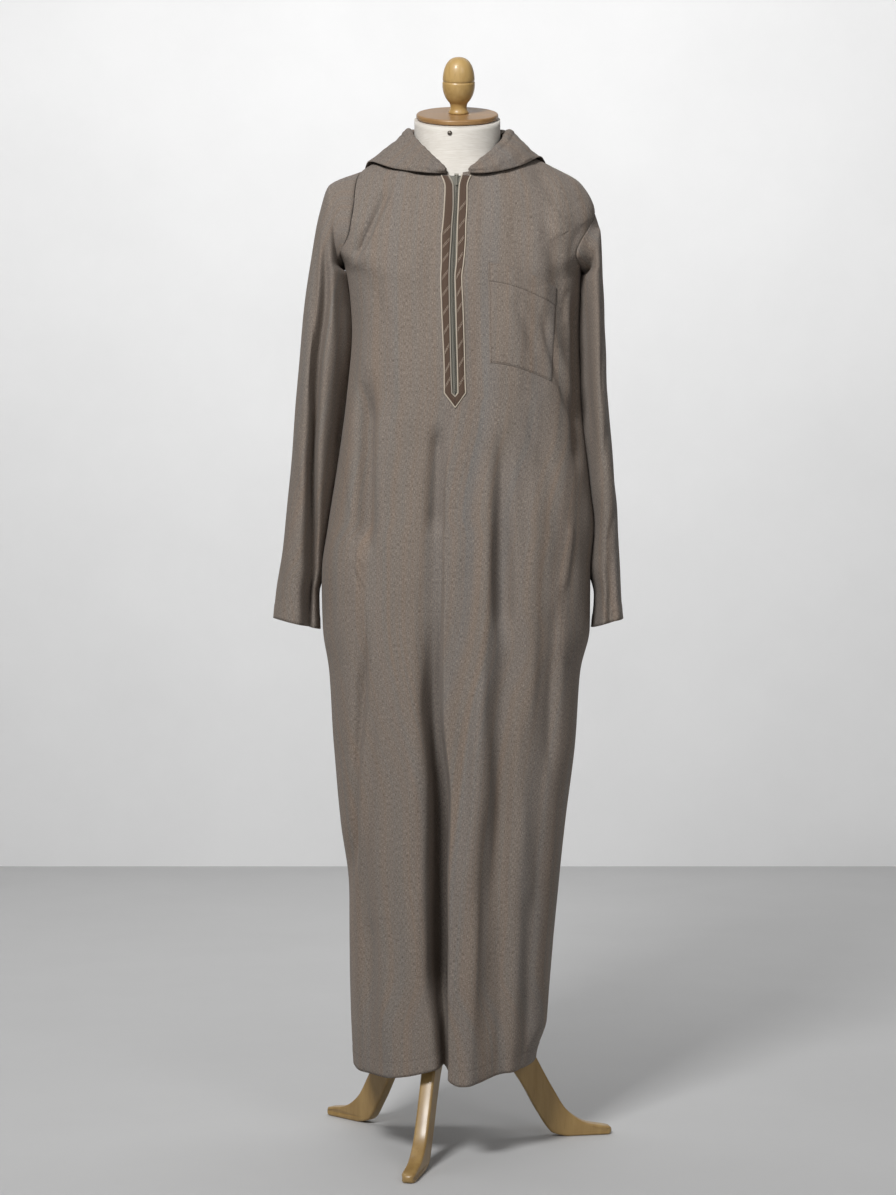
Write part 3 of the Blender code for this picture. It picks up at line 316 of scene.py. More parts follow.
# %% Sections, folds and pleat
HEM_Z = 0.124
SLIT_END_Z = 1.152
NECK_X = 0.0145
Section = namedtuple("Section", "z_left x_left z_right x_right z_front y_front z_back y_back square")
BODY = [
    Section(1.541, -0.061, 1.541, 0.090, 1.492, -0.083, 1.548, 0.080, 2.0),
    Section(1.531, -0.095, 1.533, 0.125, 1.470, -0.097, 1.528, 0.098, 2.1),
    Section(1.510, -0.133, 1.514, 0.166, 1.440, -0.108, 1.497, 0.112, 2.2),
    Section(1.480, -0.160, 1.490, 0.206, 1.405, -0.117, 1.460, 0.120, 2.3),
    Section(1.440, -0.178, 1.445, 0.228, 1.370, -0.124, 1.420, 0.124, 2.4),
    Section(1.400, -0.180, 1.400, 0.224, 1.335, -0.129, 1.380, 0.126, 2.4),
    Section(1.358, -0.160, 1.352, 0.207, 1.300, -0.132, 1.340, 0.126, 2.4),
    Section(1.260, -0.149, 1.260, 0.205, 1.240, -0.135, 1.250, 0.122, 2.5),
    Section(1.150, -0.158, 1.150, 0.208, 1.150, -0.136, 1.150, 0.118, 2.5),
    Section(1.050, -0.172, 1.050, 0.217, 1.050, -0.136, 1.050, 0.118, 2.5),
    Section(0.960, -0.186, 0.960, 0.228, 0.960, -0.137, 0.960, 0.120, 2.5),
    Section(0.885, -0.196, 0.885, 0.221, 0.885, -0.138, 0.885, 0.122, 2.5),
    Section(0.800, -0.194, 0.800, 0.220, 0.800, -0.139, 0.800, 0.124, 2.5),
    Section(0.730, -0.184, 0.730, 0.205, 0.730, -0.140, 0.730, 0.125, 2.5),
    Section(0.620, -0.177, 0.620, 0.197, 0.620, -0.142, 0.620, 0.127, 2.5),
    Section(0.500, -0.166, 0.500, 0.182, 0.500, -0.144, 0.500, 0.130, 2.5),
    Section(0.390, -0.153, 0.390, 0.170, 0.390, -0.147, 0.390, 0.133, 2.5),
    Section(0.260, -0.152, 0.260, 0.159, 0.260, -0.150, 0.260, 0.136, 2.6),
    Section(0.170, -0.149, 0.170, 0.152, 0.170, -0.154, 0.170, 0.138, 2.7),
    Section(HEM_Z, -0.146, HEM_Z, 0.149, HEM_Z, -0.156, HEM_Z, 0.138, 2.7),
]
ARM_TOP = {"left": 2, "right": 4}
ARM_LOW = 6
ARM_ANGLE = math.radians(34)
Fold = namedtuple("Fold", "face z_top x_top z_low x_low depth_top depth_low width")
FOLDS = [
    Fold("front", 1.000, 0.064, 0.060, 0.030, -0.004, -0.016, 0.016),
    Fold("front", 1.020, 0.084, 0.060, 0.078, 0.006, 0.017, 0.020),
    Fold("front", 0.900, 0.156, 0.060, 0.112, 0.004, 0.012, 0.016),
    Fold("front", 0.860, -0.130, 0.060, -0.115, 0.006, 0.014, 0.015),
    Fold("front", 1.200, -0.122, 0.900, -0.128, 0.010, 0.003, 0.014),
    Fold("front", 1.480, 0.140, 1.180, 0.188, 0.002, 0.010, 0.013),
    Fold("front", 1.490, -0.075, 1.360, -0.128, 0.004, 0.008, 0.012),
    Fold("back", 1.150, -0.070, 0.060, -0.048, 0.006, 0.024, 0.020),
    Fold("back", 1.250, 0.010, 0.060, 0.022, 0.004, 0.028, 0.022),
    Fold("back", 1.120, 0.090, 0.060, 0.086, 0.006, 0.024, 0.020),
    Fold("back", 0.980, -0.014, 0.060, -0.014, -0.003, -0.010, 0.016),
]
Pleat = namedtuple("Pleat", "z x_left x_right depth lip lap width")
PLEAT = [
    Pleat(1.160, 0.0060, 0.0150, 0.000, 0.000, 0.000, 0.020),
    Pleat(0.980, -0.0170, -0.0050, 0.004, 0.000, 0.000, 0.020),
    Pleat(0.840, -0.0200, -0.0050, 0.010, 0.001, 0.000, 0.020),
    Pleat(0.690, -0.0220, -0.0040, 0.040, 0.002, 0.002, 0.014),
    Pleat(0.540, -0.0130, 0.0080, 0.068, 0.004, 0.004, 0.013),
    Pleat(0.280, -0.0110, 0.0110, 0.088, 0.006, 0.008, 0.013),
    Pleat(0.190, -0.0060, 0.0120, 0.056, 0.006, 0.009, 0.010),
    Pleat(0.100, -0.0020, 0.0110, 0.046, 0.006, 0.010, 0.008),
]
PLEAT_RIGHT_WIDTH = 0.016
Trim = namedtuple("Trim", "z outer_left inner_left zip inner_right outer_right")
TRIM = [
    Trim(1.490, -0.0114, -0.0005, 0.0129, 0.0224, 0.0358),
    Trim(1.467, -0.0041, 0.0079, 0.0129, 0.0171, 0.0288),
    Trim(1.439, -0.0053, 0.0080, 0.0121, 0.0160, 0.0287),
    Trim(1.408, -0.0075, 0.0057, 0.0106, 0.0146, 0.0271),
    Trim(1.386, -0.0096, 0.0045, 0.0092, 0.0139, 0.0267),
    Trim(1.349, -0.0096, 0.0023, 0.0080, 0.0126, 0.0238),
    Trim(1.326, -0.0104, 0.0018, 0.0066, 0.0104, 0.0209),
    Trim(1.293, -0.0093, 0.0024, 0.0072, 0.0112, 0.0218),
    Trim(1.239, -0.0074, 0.0036, 0.0088, 0.0126, 0.0234),
    Trim(1.179, -0.0053, 0.0048, 0.0108, 0.0145, 0.0252),
    Trim(1.152, -0.0053, 0.0058, 0.0111, 0.0152, 0.0263),
]
BRAID_POINT = (0.0112, 1.130)
BRAID_INNER_POINT = (0.0111, 1.1465)

# %% Curves and the body's surface
def curve_through(keys, values, at):
    """A smooth curve through the values that never overshoots them."""
    keys = np.asarray(keys, float)
    values = np.asarray(values, float)
    at = np.clip(np.asarray(at, float), keys[0], keys[-1])
    steps = np.diff(keys)
    slopes = np.diff(values) / steps
    tangents = np.zeros(len(keys))
    same = slopes[:-1] * slopes[1:] > 0
    tangents[1:-1][same] = 2 / (1 / slopes[:-1][same] + 1 / slopes[1:][same])
    tangents[0] = slopes[0]
    tangents[-1] = slopes[-1]
    index = np.clip(np.searchsorted(keys, at, side="right") - 1, 0, len(steps) - 1)
    step = steps[index]
    u = (at - keys[index]) / step
    start = values[index] * (1 + 2 * u) * (1 - u) ** 2 + tangents[index] * step * u * (1 - u) ** 2
    end = values[index + 1] * u**2 * (3 - 2 * u) - tangents[index + 1] * step * u**2 * (1 - u)
    return start + end


def column(table, field):
    return [getattr(row, field) for row in table]


def signed_power(value, power):
    return np.sign(value) * np.abs(value) ** power


def smoothstep(value):
    value = np.clip(value, 0.0, 1.0)
    return value * value * (3 - 2 * value)


def steps_between(lengths, step, fewest=1):
    """Places along a row of sections, counted in sections, about a step apart."""
    counts = [max(fewest, math.ceil(length / step)) for length in lengths]
    spans = [index + np.arange(count) / count for index, count in enumerate(counts)]
    return np.concatenate(spans + [[len(lengths)]])


def through_sections(sections, at):
    """Smooth lines through the matching points of the sections, at the given places."""
    keys = np.arange(len(sections))
    grid = np.empty((len(at), *sections.shape[1:]))
    for col, axis in np.ndindex(sections.shape[1:]):
        grid[:, col, axis] = curve_through(keys, sections[:, col, axis], at)
    return grid


def pleat_values(z):
    """The pleat's lines and depths at a height."""
    heights = column(PLEAT, "z")[::-1]
    return {
        field: curve_through(heights, column(PLEAT, field)[::-1], z)
        for field in Pleat._fields[1:]
    }


def folded(x, y, z, on_front):
    """Presses the pleat and the soft folds into points of the plain body."""
    shift_x = np.zeros_like(x)
    inward = np.zeros_like(x)
    p = pleat_values(z)
    left = np.exp(-(((x - p["x_left"]) / p["width"]) ** 2))
    right = np.exp(-(((x - p["x_right"]) / PLEAT_RIGHT_WIDTH) ** 2))
    across = smoothstep(((x - p["x_left"]) / (p["x_right"] - p["x_left"]) - 0.5) / 0.5)
    between = p["depth"] * (1 - across) - p["lip"] * across
    past_left = np.where(x > p["x_right"], -p["lip"] * right, between)
    pleat = np.where(x < p["x_left"], p["depth"] * left, past_left)
    inward += np.where(on_front, pleat, 0.0)
    lap = np.where(x > p["x_right"], right, across * (x > p["x_left"]))
    shift_x -= np.where(on_front, p["lap"] * lap, 0.0)
    for fold in FOLDS:
        along = (fold.z_top - z) / (fold.z_top - fold.z_low)
        centre = fold.x_top + (fold.x_low - fold.x_top) * along
        depth = fold.depth_top + (fold.depth_low - fold.depth_top) * along
        fade = smoothstep(along / 0.15) * smoothstep((1 - along) / 0.15 + (fold.z_low < HEM_Z))
        pressed = depth * fade * np.exp(-(((x - centre) / fold.width) ** 2))
        inward += np.where(on_front == (fold.face == "front"), pressed, 0.0)
    return x + shift_x, y + np.where(on_front, inward, -inward), z


def body_surface(angle, level):
    """Points of the robe's body at an angle round it and a level down it, in sections."""
    angle, level = np.broadcast_arrays(np.asarray(angle, float), np.asarray(level, float))
    keys = range(len(BODY))
    at = {field: curve_through(keys, column(BODY, field), level) for field in Section._fields}
    along_x = signed_power(np.cos(angle), 2 / at["square"])
    along_y = signed_power(np.sin(angle), 2 / at["square"])
    middle = (at["x_left"] + at["x_right"]) / 2
    half = (at["x_right"] - at["x_left"]) / 2
    on_front = along_y < 0
    x = middle + half * along_x
    y = np.where(on_front, -at["y_front"], at["y_back"]) * along_y
    side_z = at["z_left"] + (at["z_right"] - at["z_left"]) * (1 + along_x) / 2
    end_z = np.where(on_front, at["z_front"], at["z_back"])
    z = side_z + (end_z - side_z) * np.abs(along_y) ** 1.8
    return np.stack(folded(x, y, z, on_front), axis=-1)


def front_angle(x, level):
    """The angle at which the plain front reaches x at a level."""
    keys = range(len(BODY))
    left = curve_through(keys, column(BODY, "x_left"), level)
    right = curve_through(keys, column(BODY, "x_right"), level)
    square = curve_through(keys, column(BODY, "square"), level)
    share = np.clip((x - (left + right) / 2) / ((right - left) / 2), -1, 1)
    cosine = signed_power(share, square / 2)
    return 2 * np.pi - np.arccos(cosine)


def arm_opening(side, levels):
    """How far an armhole eats into the panels, as an angle."""
    share = (levels - ARM_TOP[side]) / (ARM_LOW - ARM_TOP[side])
    inside = (share > 0) & (share < 1)
    return np.where(inside, ARM_ANGLE * np.sin(np.pi * np.clip(share, 0, 1)) ** 0.7, 0.0)

# %% [markdown]
# ## Creases
# A crease runs along a slightly bowed line on a panel, as a soft trough (depth above 0)
# or ridge (depth below 0), and fades out at its ends. Each one is listed. A faint
# unevenness from a few slow waves, fixed by a seed, keeps the cloth between from looking
# pressed.

# %% Crease tools
Crease = namedtuple("Crease", "x0 z0 x1 z1 depth width bow skew", defaults=(0.0, 0.0))


def crease_depth(creases, x, z):
    """How deep the creases press at each point of a panel."""
    total = np.zeros_like(x)
    for line in creases:
        run = np.array([line.x1 - line.x0, line.z1 - line.z0])
        length = float(np.hypot(*run))
        run = run / length
        along = ((x - line.x0) * run[0] + (z - line.z0) * run[1]) / length
        away = -(x - line.x0) * run[1] + (z - line.z0) * run[0]
        inside = np.clip(along, 0, 1)
        away = away - line.bow * 4 * inside * (1 - inside)
        width = line.width * (1 + line.skew * np.sign(away))
        fade = smoothstep(along / 0.22) * smoothstep((1 - along) / 0.22)
        total += line.depth * np.exp(-((away / width) ** 2)) * fade
    return total


def slow_waves(first, second, pitch, height, seed, count=7):
    """A smooth unevenness made of a few waves in fixed directions."""
    draw = np.random.RandomState(seed)
    total = np.zeros_like(first)
    for _ in range(count):
        heading = draw.uniform(0, math.pi)
        length = pitch * draw.uniform(0.6, 1.8)
        phase = draw.uniform(0, TURN)
        total += np.sin((first * math.cos(heading) + second * math.sin(heading)) * TURN / length + phase)
    return total * height / count


def grid_normals(points, closed=False):
    """Unit normals of a grid of points, from its rows and columns."""
    down = np.gradient(points, axis=0)
    if closed:
        across = (np.roll(points, -1, axis=1) - np.roll(points, 1, axis=1)) / 2
    else:
        across = np.gradient(points, axis=1)
    normals = np.cross(down, across)
    return normals / np.maximum(np.linalg.norm(normals, axis=-1, keepdims=True), 1e-12)


def flat_map(points, centre_column, closed=False):
    """The flat cloth's own metres at each point: across from a straight grain line, and along."""
    if closed:
        points = np.concatenate([points, points[:, :1]], axis=1)
    steps = np.linalg.norm(np.diff(points, axis=1), axis=-1)
    across = np.concatenate([np.zeros((len(points), 1)), np.cumsum(steps, axis=1)], axis=1)
    across -= across[:, centre_column][:, None]
    falls = np.linalg.norm(np.diff(points[:, centre_column], axis=0), axis=-1)
    along = -np.concatenate([[0.0], np.cumsum(falls)])
    return np.stack([across, np.broadcast_to(along[:, None], across.shape)], axis=-1)


def strip_map(points):
    """The same for a strip that spreads and closes again: each column keeps its own length."""
    steps = np.linalg.norm(np.diff(points, axis=1), axis=-1).mean(axis=0)
    across = np.concatenate([[0.0], np.cumsum(steps)])
    falls = np.linalg.norm(np.diff(points, axis=0), axis=-1)
    along = -np.concatenate([np.zeros((1, points.shape[1])), np.cumsum(falls, axis=0)])
    return np.stack([np.broadcast_to(across, along.shape), along], axis=-1)


# %% Making a cloth piece
CLOTH = 0.0012


def quads(rows, columns, closed=False, skip=None):
    """Corners of the faces between a grid's points, and each face's row and column."""
    across = np.arange(columns if closed else columns - 1)
    row, col = np.meshgrid(np.arange(rows - 1), across, indexing="ij")
    if skip is not None:
        keep = ~skip[row, col]
        row, col = row[keep], col[keep]
    row, col = row.ravel(), col.ravel()
    after = (col + 1) % columns
    here, below = row * columns, (row + 1) * columns
    faces = np.stack([here + col, below + col, below + after, here + after], axis=1)
    return faces, row, col


def plain_mesh(obj):
    """Turns an object with modifiers into a plain one, in place."""
    graph = bpy.context.evaluated_depsgraph_get()
    mesh = bpy.data.meshes.new_from_object(obj.evaluated_get(graph))
    obj.modifiers.clear()
    old = obj.data
    obj.data = mesh
    if old.users == 0 and isinstance(old, bpy.types.Mesh):
        bpy.data.meshes.remove(old)


def cloth_object(name, points, finish, cut, wall=CLOTH, closed=False, skip=None):
    """A cloth piece: the surface through a grid of points in the stand's frame, given its wall."""
    rows, columns = points.shape[:2]
    faces, row, col = quads(rows, columns, closed, skip)
    mesh = bpy.data.meshes.new(name)
    used, faces = np.unique(faces, return_inverse=True)
    faces = faces.reshape(-1, 4)
    vertices = points.reshape(-1, 3)[used] + (0.0, STAND_Y, 0.0)
    mesh.from_pydata(vertices.tolist(), [], faces.tolist())
    uv = mesh.uv_layers.new(name="cut")
    corners = np.stack([cut[row, col], cut[row + 1, col], cut[row + 1, col + 1], cut[row, col + 1]], axis=1)
    uv.data.foreach_set("uv", corners.reshape(-1).astype(np.float32))
    mesh.materials.append(finish)
    mesh.shade_smooth()
    obj = bpy.data.objects.new(name, mesh)
    bpy.context.scene.collection.objects.link(obj)
    solid = obj.modifiers.new("wall", "SOLIDIFY")
    solid.thickness = wall
    solid.offset = 0.0
    solid.use_quality_normals = True
    plain_mesh(obj)
    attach(obj, "root")
    print(name, len(obj.data.polygons), "faces")
    return obj


def area_of(points, closed=False, skip=None):
    """The area of a grid of points, in square metres."""
    faces, _, _ = quads(*points.shape[:2], closed, skip)
    corners = points.reshape(-1, 3)[faces]
    first = np.cross(corners[:, 1] - corners[:, 0], corners[:, 2] - corners[:, 0])
    second = np.cross(corners[:, 2] - corners[:, 0], corners[:, 3] - corners[:, 0])
    return float((np.linalg.norm(first, axis=1) + np.linalg.norm(second, axis=1)).sum() / 2)


def smallest_box(cut):
    """Width and length of the smallest rectangle the flat shape fits in, however it is turned."""
    flat = cut.reshape(-1, 2)
    boxes = []
    for turn in np.radians(np.arange(0, 90, 3)):
        across = flat @ (math.cos(turn), math.sin(turn))
        along = flat @ (-math.sin(turn), math.cos(turn))
        boxes.append(sorted((float(np.ptp(across)), float(np.ptp(along)))))
    return min(boxes, key=lambda box: box[0] * box[1])


SEAM_ALLOWANCE = 0.010     # turned in all round each piece as it was cut


def border_length(cut):
    sides = (cut[0], cut[-1], cut[:, 0], cut[:, -1])
    return sum(float(np.linalg.norm(np.diff(side, axis=0), axis=-1).sum()) for side in sides)


def declare_sheet(obj, cut, area, allowance=0.0):
    """Says how large the piece was cut: the box round its flat shape, and the shape's area."""
    wide, tall = (round(size + 2 * allowance, 3) for size in smallest_box(cut))
    area = area + allowance * border_length(cut)
    area = min(round(area, 4), math.floor(wide * tall * 1e4) / 1e4)
    print(obj.name, "cut", wide, "x", tall, "area", area)


# %% [markdown]
# ## The front
# The front is one panel, slit down its middle for the zip and gathered below into a deep
# pleat whose right lip laps over the left. Its grid crowds its columns round the slit and
# the pleat. Creases pull from the neck to the arms, and long folds run down the skirt.

# %% Front panel
ROW_STEP = 0.0056
PRESSED_HEM = 0.023        # height of the turned-up hem


def fine_levels(step):
    levels = [0.0]
    sides = np.radians([180, 225, 270, 315, 360, 90])
    for index in range(len(BODY) - 1):
        fall = body_surface(sides, index + 1.0) - body_surface(sides, float(index))
        count = math.ceil(float(np.linalg.norm(fall, axis=-1).max()) / step)
        levels += [index + (part + 1) / count for part in range(count)]
    return np.array(levels)


def front_columns(levels, left_count, middle_count, right_count):
    start = np.pi + arm_opening("left", levels) + SEAM_TURN
    end = TURN - arm_opening("right", levels) - SEAM_TURN
    heights = body_surface(np.full_like(levels, 1.5 * np.pi), levels)[:, 2]
    pleat = pleat_values(heights)
    trim_z = column(TRIM, "z")[::-1]
    above = heights > SLIT_END_Z - 0.01
    sides = []
    for trim_field, pleat_field in (("inner_left", "x_left"), ("inner_right", "x_right")):
        slit = curve_through(trim_z, column(TRIM, trim_field)[::-1], heights)
        sides.append(np.where(above, slit, pleat[pleat_field]))
    x_left, x_right = sides
    spread = 1 - (1 - np.linspace(0, 1, left_count)) ** 1.25
    turn_left = front_angle(x_left, levels)
    turn_right = front_angle(x_right, levels)
    left = start[:, None] + (turn_left - start)[:, None] * spread
    inner = np.linspace(0, 1, middle_count + 2)[1:-1]
    middle_x = x_left[:, None] + (x_right - x_left)[:, None] * inner
    middle = front_angle(middle_x, levels[:, None])
    spread = np.linspace(0, 1, right_count) ** 1.25
    right = turn_right[:, None] + (end - turn_right)[:, None] * spread
    return np.hstack([left, middle, right]), heights


def hem_relief(height, low=HEM_Z):
    """The turned-up hem is two layers thick, with a pressed line where it is sewn."""
    up = height - low
    thick = 0.0006 * (1 - smoothstep((up - PRESSED_HEM) / 0.003))
    sewn = -0.0007 * np.exp(-(((up - PRESSED_HEM) / 0.0016) ** 2))
    return thick + sewn


FRONT_CREASES = [
    # from the neck over the left chest to the arm
    Crease(-0.070, 1.492, -0.134, 1.345, -0.0060, 0.0060, 0.004, -0.3),
    Crease(-0.084, 1.484, -0.150, 1.352, 0.0040, 0.0060, 0.004),
    # small pulls at the left hip, and down the right flank
    Crease(-0.150, 0.945, -0.128, 0.900, 0.0024, 0.0040, 0.002),
    Crease(-0.151, 0.925, -0.126, 0.875, 0.0026, 0.0040, 0.002),
    Crease(-0.150, 0.900, -0.125, 0.845, 0.0022, 0.0045, 0.002),
    Crease(0.186, 0.965, 0.172, 0.850, -0.0040, 0.0060, 0.002),
    Crease(0.196, 1.330, 0.200, 1.030, 0.0130, 0.0100, 0.003),
    # softer ones over the left chest
    Crease(-0.096, 1.474, -0.148, 1.352, 0.0048, 0.0100, 0.004),
    Crease(-0.044, 1.470, -0.072, 1.330, 0.0016, 0.0100, 0.004),
    Crease(-0.120, 1.330, -0.060, 1.215, 0.0014, 0.0120, -0.006),
    # from the neck over the right chest
    Crease(0.137, 1.506, 0.166, 1.430, 0.0030, 0.0110, 0.003),
    Crease(0.126, 1.482, 0.190, 1.350, -0.0018, 0.0120, 0.006),
    Crease(0.100, 1.470, 0.170, 1.350, 0.0018, 0.0120, 0.004),
    Crease(0.090, 1.300, 0.132, 1.205, 0.0026, 0.0090, 0.006),
    # under the right arm
    Crease(0.1860, 1.320, 0.176, 1.262, 0.0020, 0.0060, -0.003),
    Crease(0.140, 1.286, 0.198, 1.105, 0.0048, 0.0090, -0.006, 0.3),
    Crease(0.150, 1.280, 0.204, 1.130, -0.0026, 0.0070, -0.004),
    Crease(0.110, 1.180, 0.160, 1.020, 0.0024, 0.0130, -0.008),
    # waist and hips
    Crease(-0.125, 1.180, -0.128, 0.900, 0.0185, 0.0120),
    Crease(-0.098, 1.140, -0.104, 0.880, -0.0030, 0.0120),
    Crease(-0.0150, 1.110, -0.0190, 0.930, 0.0135, 0.0110),
    Crease(-0.060, 1.120, -0.055, 0.860, 0.0026, 0.0160),
    Crease(0.020, 1.090, 0.014, 0.860, -0.0024, 0.0130, 0.003),
    Crease(0.061, 1.070, 0.048, 0.720, -0.0060, 0.0100, 0.002),
    Crease(0.082, 1.110, 0.084, 0.760, 0.0150, 0.0130),
    Crease(0.084, 0.800, 0.070, 0.330, 0.0085, 0.0130, 0.004),
    Crease(0.052, 0.780, 0.022, 0.340, -0.0060, 0.0110, 0.003),
    Crease(0.130, 1.060, 0.126, 0.640, -0.0044, 0.0120),
    Crease(0.164, 0.860, 0.152, 0.560, 0.0066, 0.0090),
    # skirt
    Crease(-0.113, 0.800, -0.138, 0.400, -0.0040, 0.0070, -0.002),
    Crease(-0.122, 0.800, -0.147, 0.400, 0.0090, 0.0070, -0.002),
    Crease(-0.088, 0.760, -0.086, 0.180, 0.0028, 0.0160),
    Crease(-0.052, 0.700, -0.046, 0.150, -0.0040, 0.0160),
    Crease(0.058, 0.560, 0.052, 0.140, 0.0030, 0.0120),
    Crease(0.096, 0.520, 0.092, 0.130, -0.0030, 0.0110),
    Crease(0.122, 0.420, 0.118, 0.130, 0.0040, 0.0100),
    Crease(-0.120, 0.380, -0.114, 0.130, 0.0040, 0.0120),
]
SEAM_TURN = 0.0012         # half of the gap at a seam, as an angle
SIDE_COLUMNS = 84
PLEAT_COLUMNS = 11
front_levels = fine_levels(ROW_STEP)
front_turns, front_heights = front_columns(front_levels, SIDE_COLUMNS, PLEAT_COLUMNS, SIDE_COLUMNS)
front_base = body_surface(front_turns, front_levels[:, None])


def edge_fade(columns, share=0.03):
    """0 at a panel's side seams, 1 inside it."""
    place = np.linspace(0, 1, columns)
    return smoothstep(place / share) * smoothstep((1 - place) / share)


def tucked(points):
    """The skirt's right corner turns in towards the leg just above the hem."""
    share = smoothstep((0.185 - points[..., 2]) / 0.060) * smoothstep((points[..., 0] - 0.070) / 0.075)
    points[..., 0] -= 0.013 * share
    return points


def hem_line(points, rise):
    """Moves the lowest part of a skirt panel up or down, for a hem that doesn't hang level."""
    share = smoothstep((0.42 - points[..., 2]) / 0.30)
    points[..., 2] += rise * share
    return points


front_relief = -crease_depth(FRONT_CREASES, front_base[..., 0], front_base[..., 2])
front_relief += slow_waves(front_base[..., 0] * 2.4, front_base[..., 2] * 0.5, 0.15, 0.0044, 11)
front_relief += slow_waves(front_base[..., 0] * 2.0, front_base[..., 2] * 0.35, 0.045, 0.0009, 12)
front_relief *= edge_fade(front_base.shape[1], 0.07)
front_relief *= smoothstep(front_levels / 0.8)[:, None]
front_relief += hem_relief(front_base[..., 2])
front_points = front_base + grid_normals(front_base) * front_relief[..., None]
hem_x = [-0.16, -0.10, -0.06, -0.035, -0.008, 0.004, 0.018, 0.045, 0.075, 0.11, 0.155]
hem_z = [0.004, 0.003, 0.008, 0.014, 0.020, 0.002, -0.003, 0.000, 0.007, 0.010, 0.014]
front_points = hem_line(tucked(front_points), curve_through(hem_x, hem_z, front_base[..., 0]))
front_cut = flat_map(front_points, SIDE_COLUMNS)
slit_row = front_heights[:-1] > SLIT_END_Z - 0.01
front_skip = np.zeros((len(front_levels) - 1, front_base.shape[1] - 1), bool)
front_skip[:, SIDE_COLUMNS - 1 : SIDE_COLUMNS + PLEAT_COLUMNS] = slit_row[:, None]
robe_front = cloth_object("robe_front", front_points, WOOL, front_cut, skip=front_skip)
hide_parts("front")
front_area = area_of(front_points, skip=front_skip)
declare_sheet(robe_front, front_cut, front_area, SEAM_ALLOWANCE)


# %% [markdown]
# ## The back
# The back is a plain panel. Its folds fall from the shoulder blades and widen to the hem.

# %% Back panel
BACK_CREASES = [
    Crease(-0.110, 1.480, -0.140, 1.250, 0.0036, 0.0110, -0.004),
    Crease(0.150, 1.470, 0.180, 1.260, 0.0036, 0.0110, 0.004),
    Crease(-0.080, 1.420, -0.050, 1.120, 0.0024, 0.0150, 0.006),
    Crease(0.100, 1.400, 0.080, 1.100, 0.0026, 0.0150, -0.006),
    Crease(-0.150, 1.180, -0.080, 1.020, 0.0026, 0.0120, -0.006),
    Crease(0.190, 1.160, 0.110, 1.010, 0.0026, 0.0120, 0.006),
    Crease(-0.120, 1.000, -0.115, 0.560, 0.0060, 0.0130, 0.004),
    Crease(-0.140, 0.960, -0.132, 0.500, -0.0040, 0.0100, 0.004),
    Crease(0.140, 1.020, 0.130, 0.500, 0.0060, 0.0140, -0.004),
    Crease(0.165, 0.900, 0.150, 0.400, -0.0034, 0.0110, -0.003),
    Crease(-0.010, 1.140, -0.004, 0.700, -0.0040, 0.0140),
    Crease(0.055, 1.060, 0.052, 0.400, -0.0050, 0.0120),
    Crease(-0.092, 0.700, -0.098, 0.150, 0.0050, 0.0120),
    Crease(0.118, 0.600, 0.116, 0.150, -0.0040, 0.0120),
]
back_levels = fine_levels(ROW_STEP * 1.1)
BACK_COUNT = 150
back_start = arm_opening("right", back_levels) + SEAM_TURN
back_end = np.pi - arm_opening("left", back_levels) - SEAM_TURN
back_turns = back_start[:, None] + (back_end - back_start)[:, None] * np.linspace(0, 1, BACK_COUNT)
back_base = body_surface(back_turns, back_levels[:, None])
back_relief = -crease_depth(BACK_CREASES, back_base[..., 0], back_base[..., 2])
back_relief += slow_waves(back_base[..., 0] * 2.4, back_base[..., 2] * 0.5, 0.16, 0.0044, 21)
back_relief += slow_waves(back_base[..., 0] * 2.0, back_base[..., 2] * 0.35, 0.050, 0.0009, 22)
back_relief *= edge_fade(BACK_COUNT, 0.06)
back_relief *= smoothstep(back_levels / 0.8)[:, None]
back_relief *= 1 - 0.75 * smoothstep((back_base[..., 2] - 1.15) / 0.10)
back_relief += hem_relief(back_base[..., 2])
back_points = back_base + grid_normals(back_base) * back_relief[..., None]
hem_x = [-0.15, -0.05, 0.02, 0.09, 0.15]
hem_z = [0.004, -0.004, 0.005, -0.004, 0.014]
back_points = hem_line(tucked(back_points), curve_through(hem_x, hem_z, back_base[..., 0]))
back_cut = flat_map(back_points, BACK_COUNT // 2)
robe_back = cloth_object("robe_back", back_points, WOOL, back_cut)
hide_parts("back")
declare_sheet(robe_back, back_cut, area_of(back_points), SEAM_ALLOWANCE)

# %% [markdown]
# ## The sleeves
# A sleeve is a wide flat tube, set into an armhole that is cut square and low. It hangs
# straight down, so it is narrow from the front, deep from the side, and pressed into a
# long trough along its front.

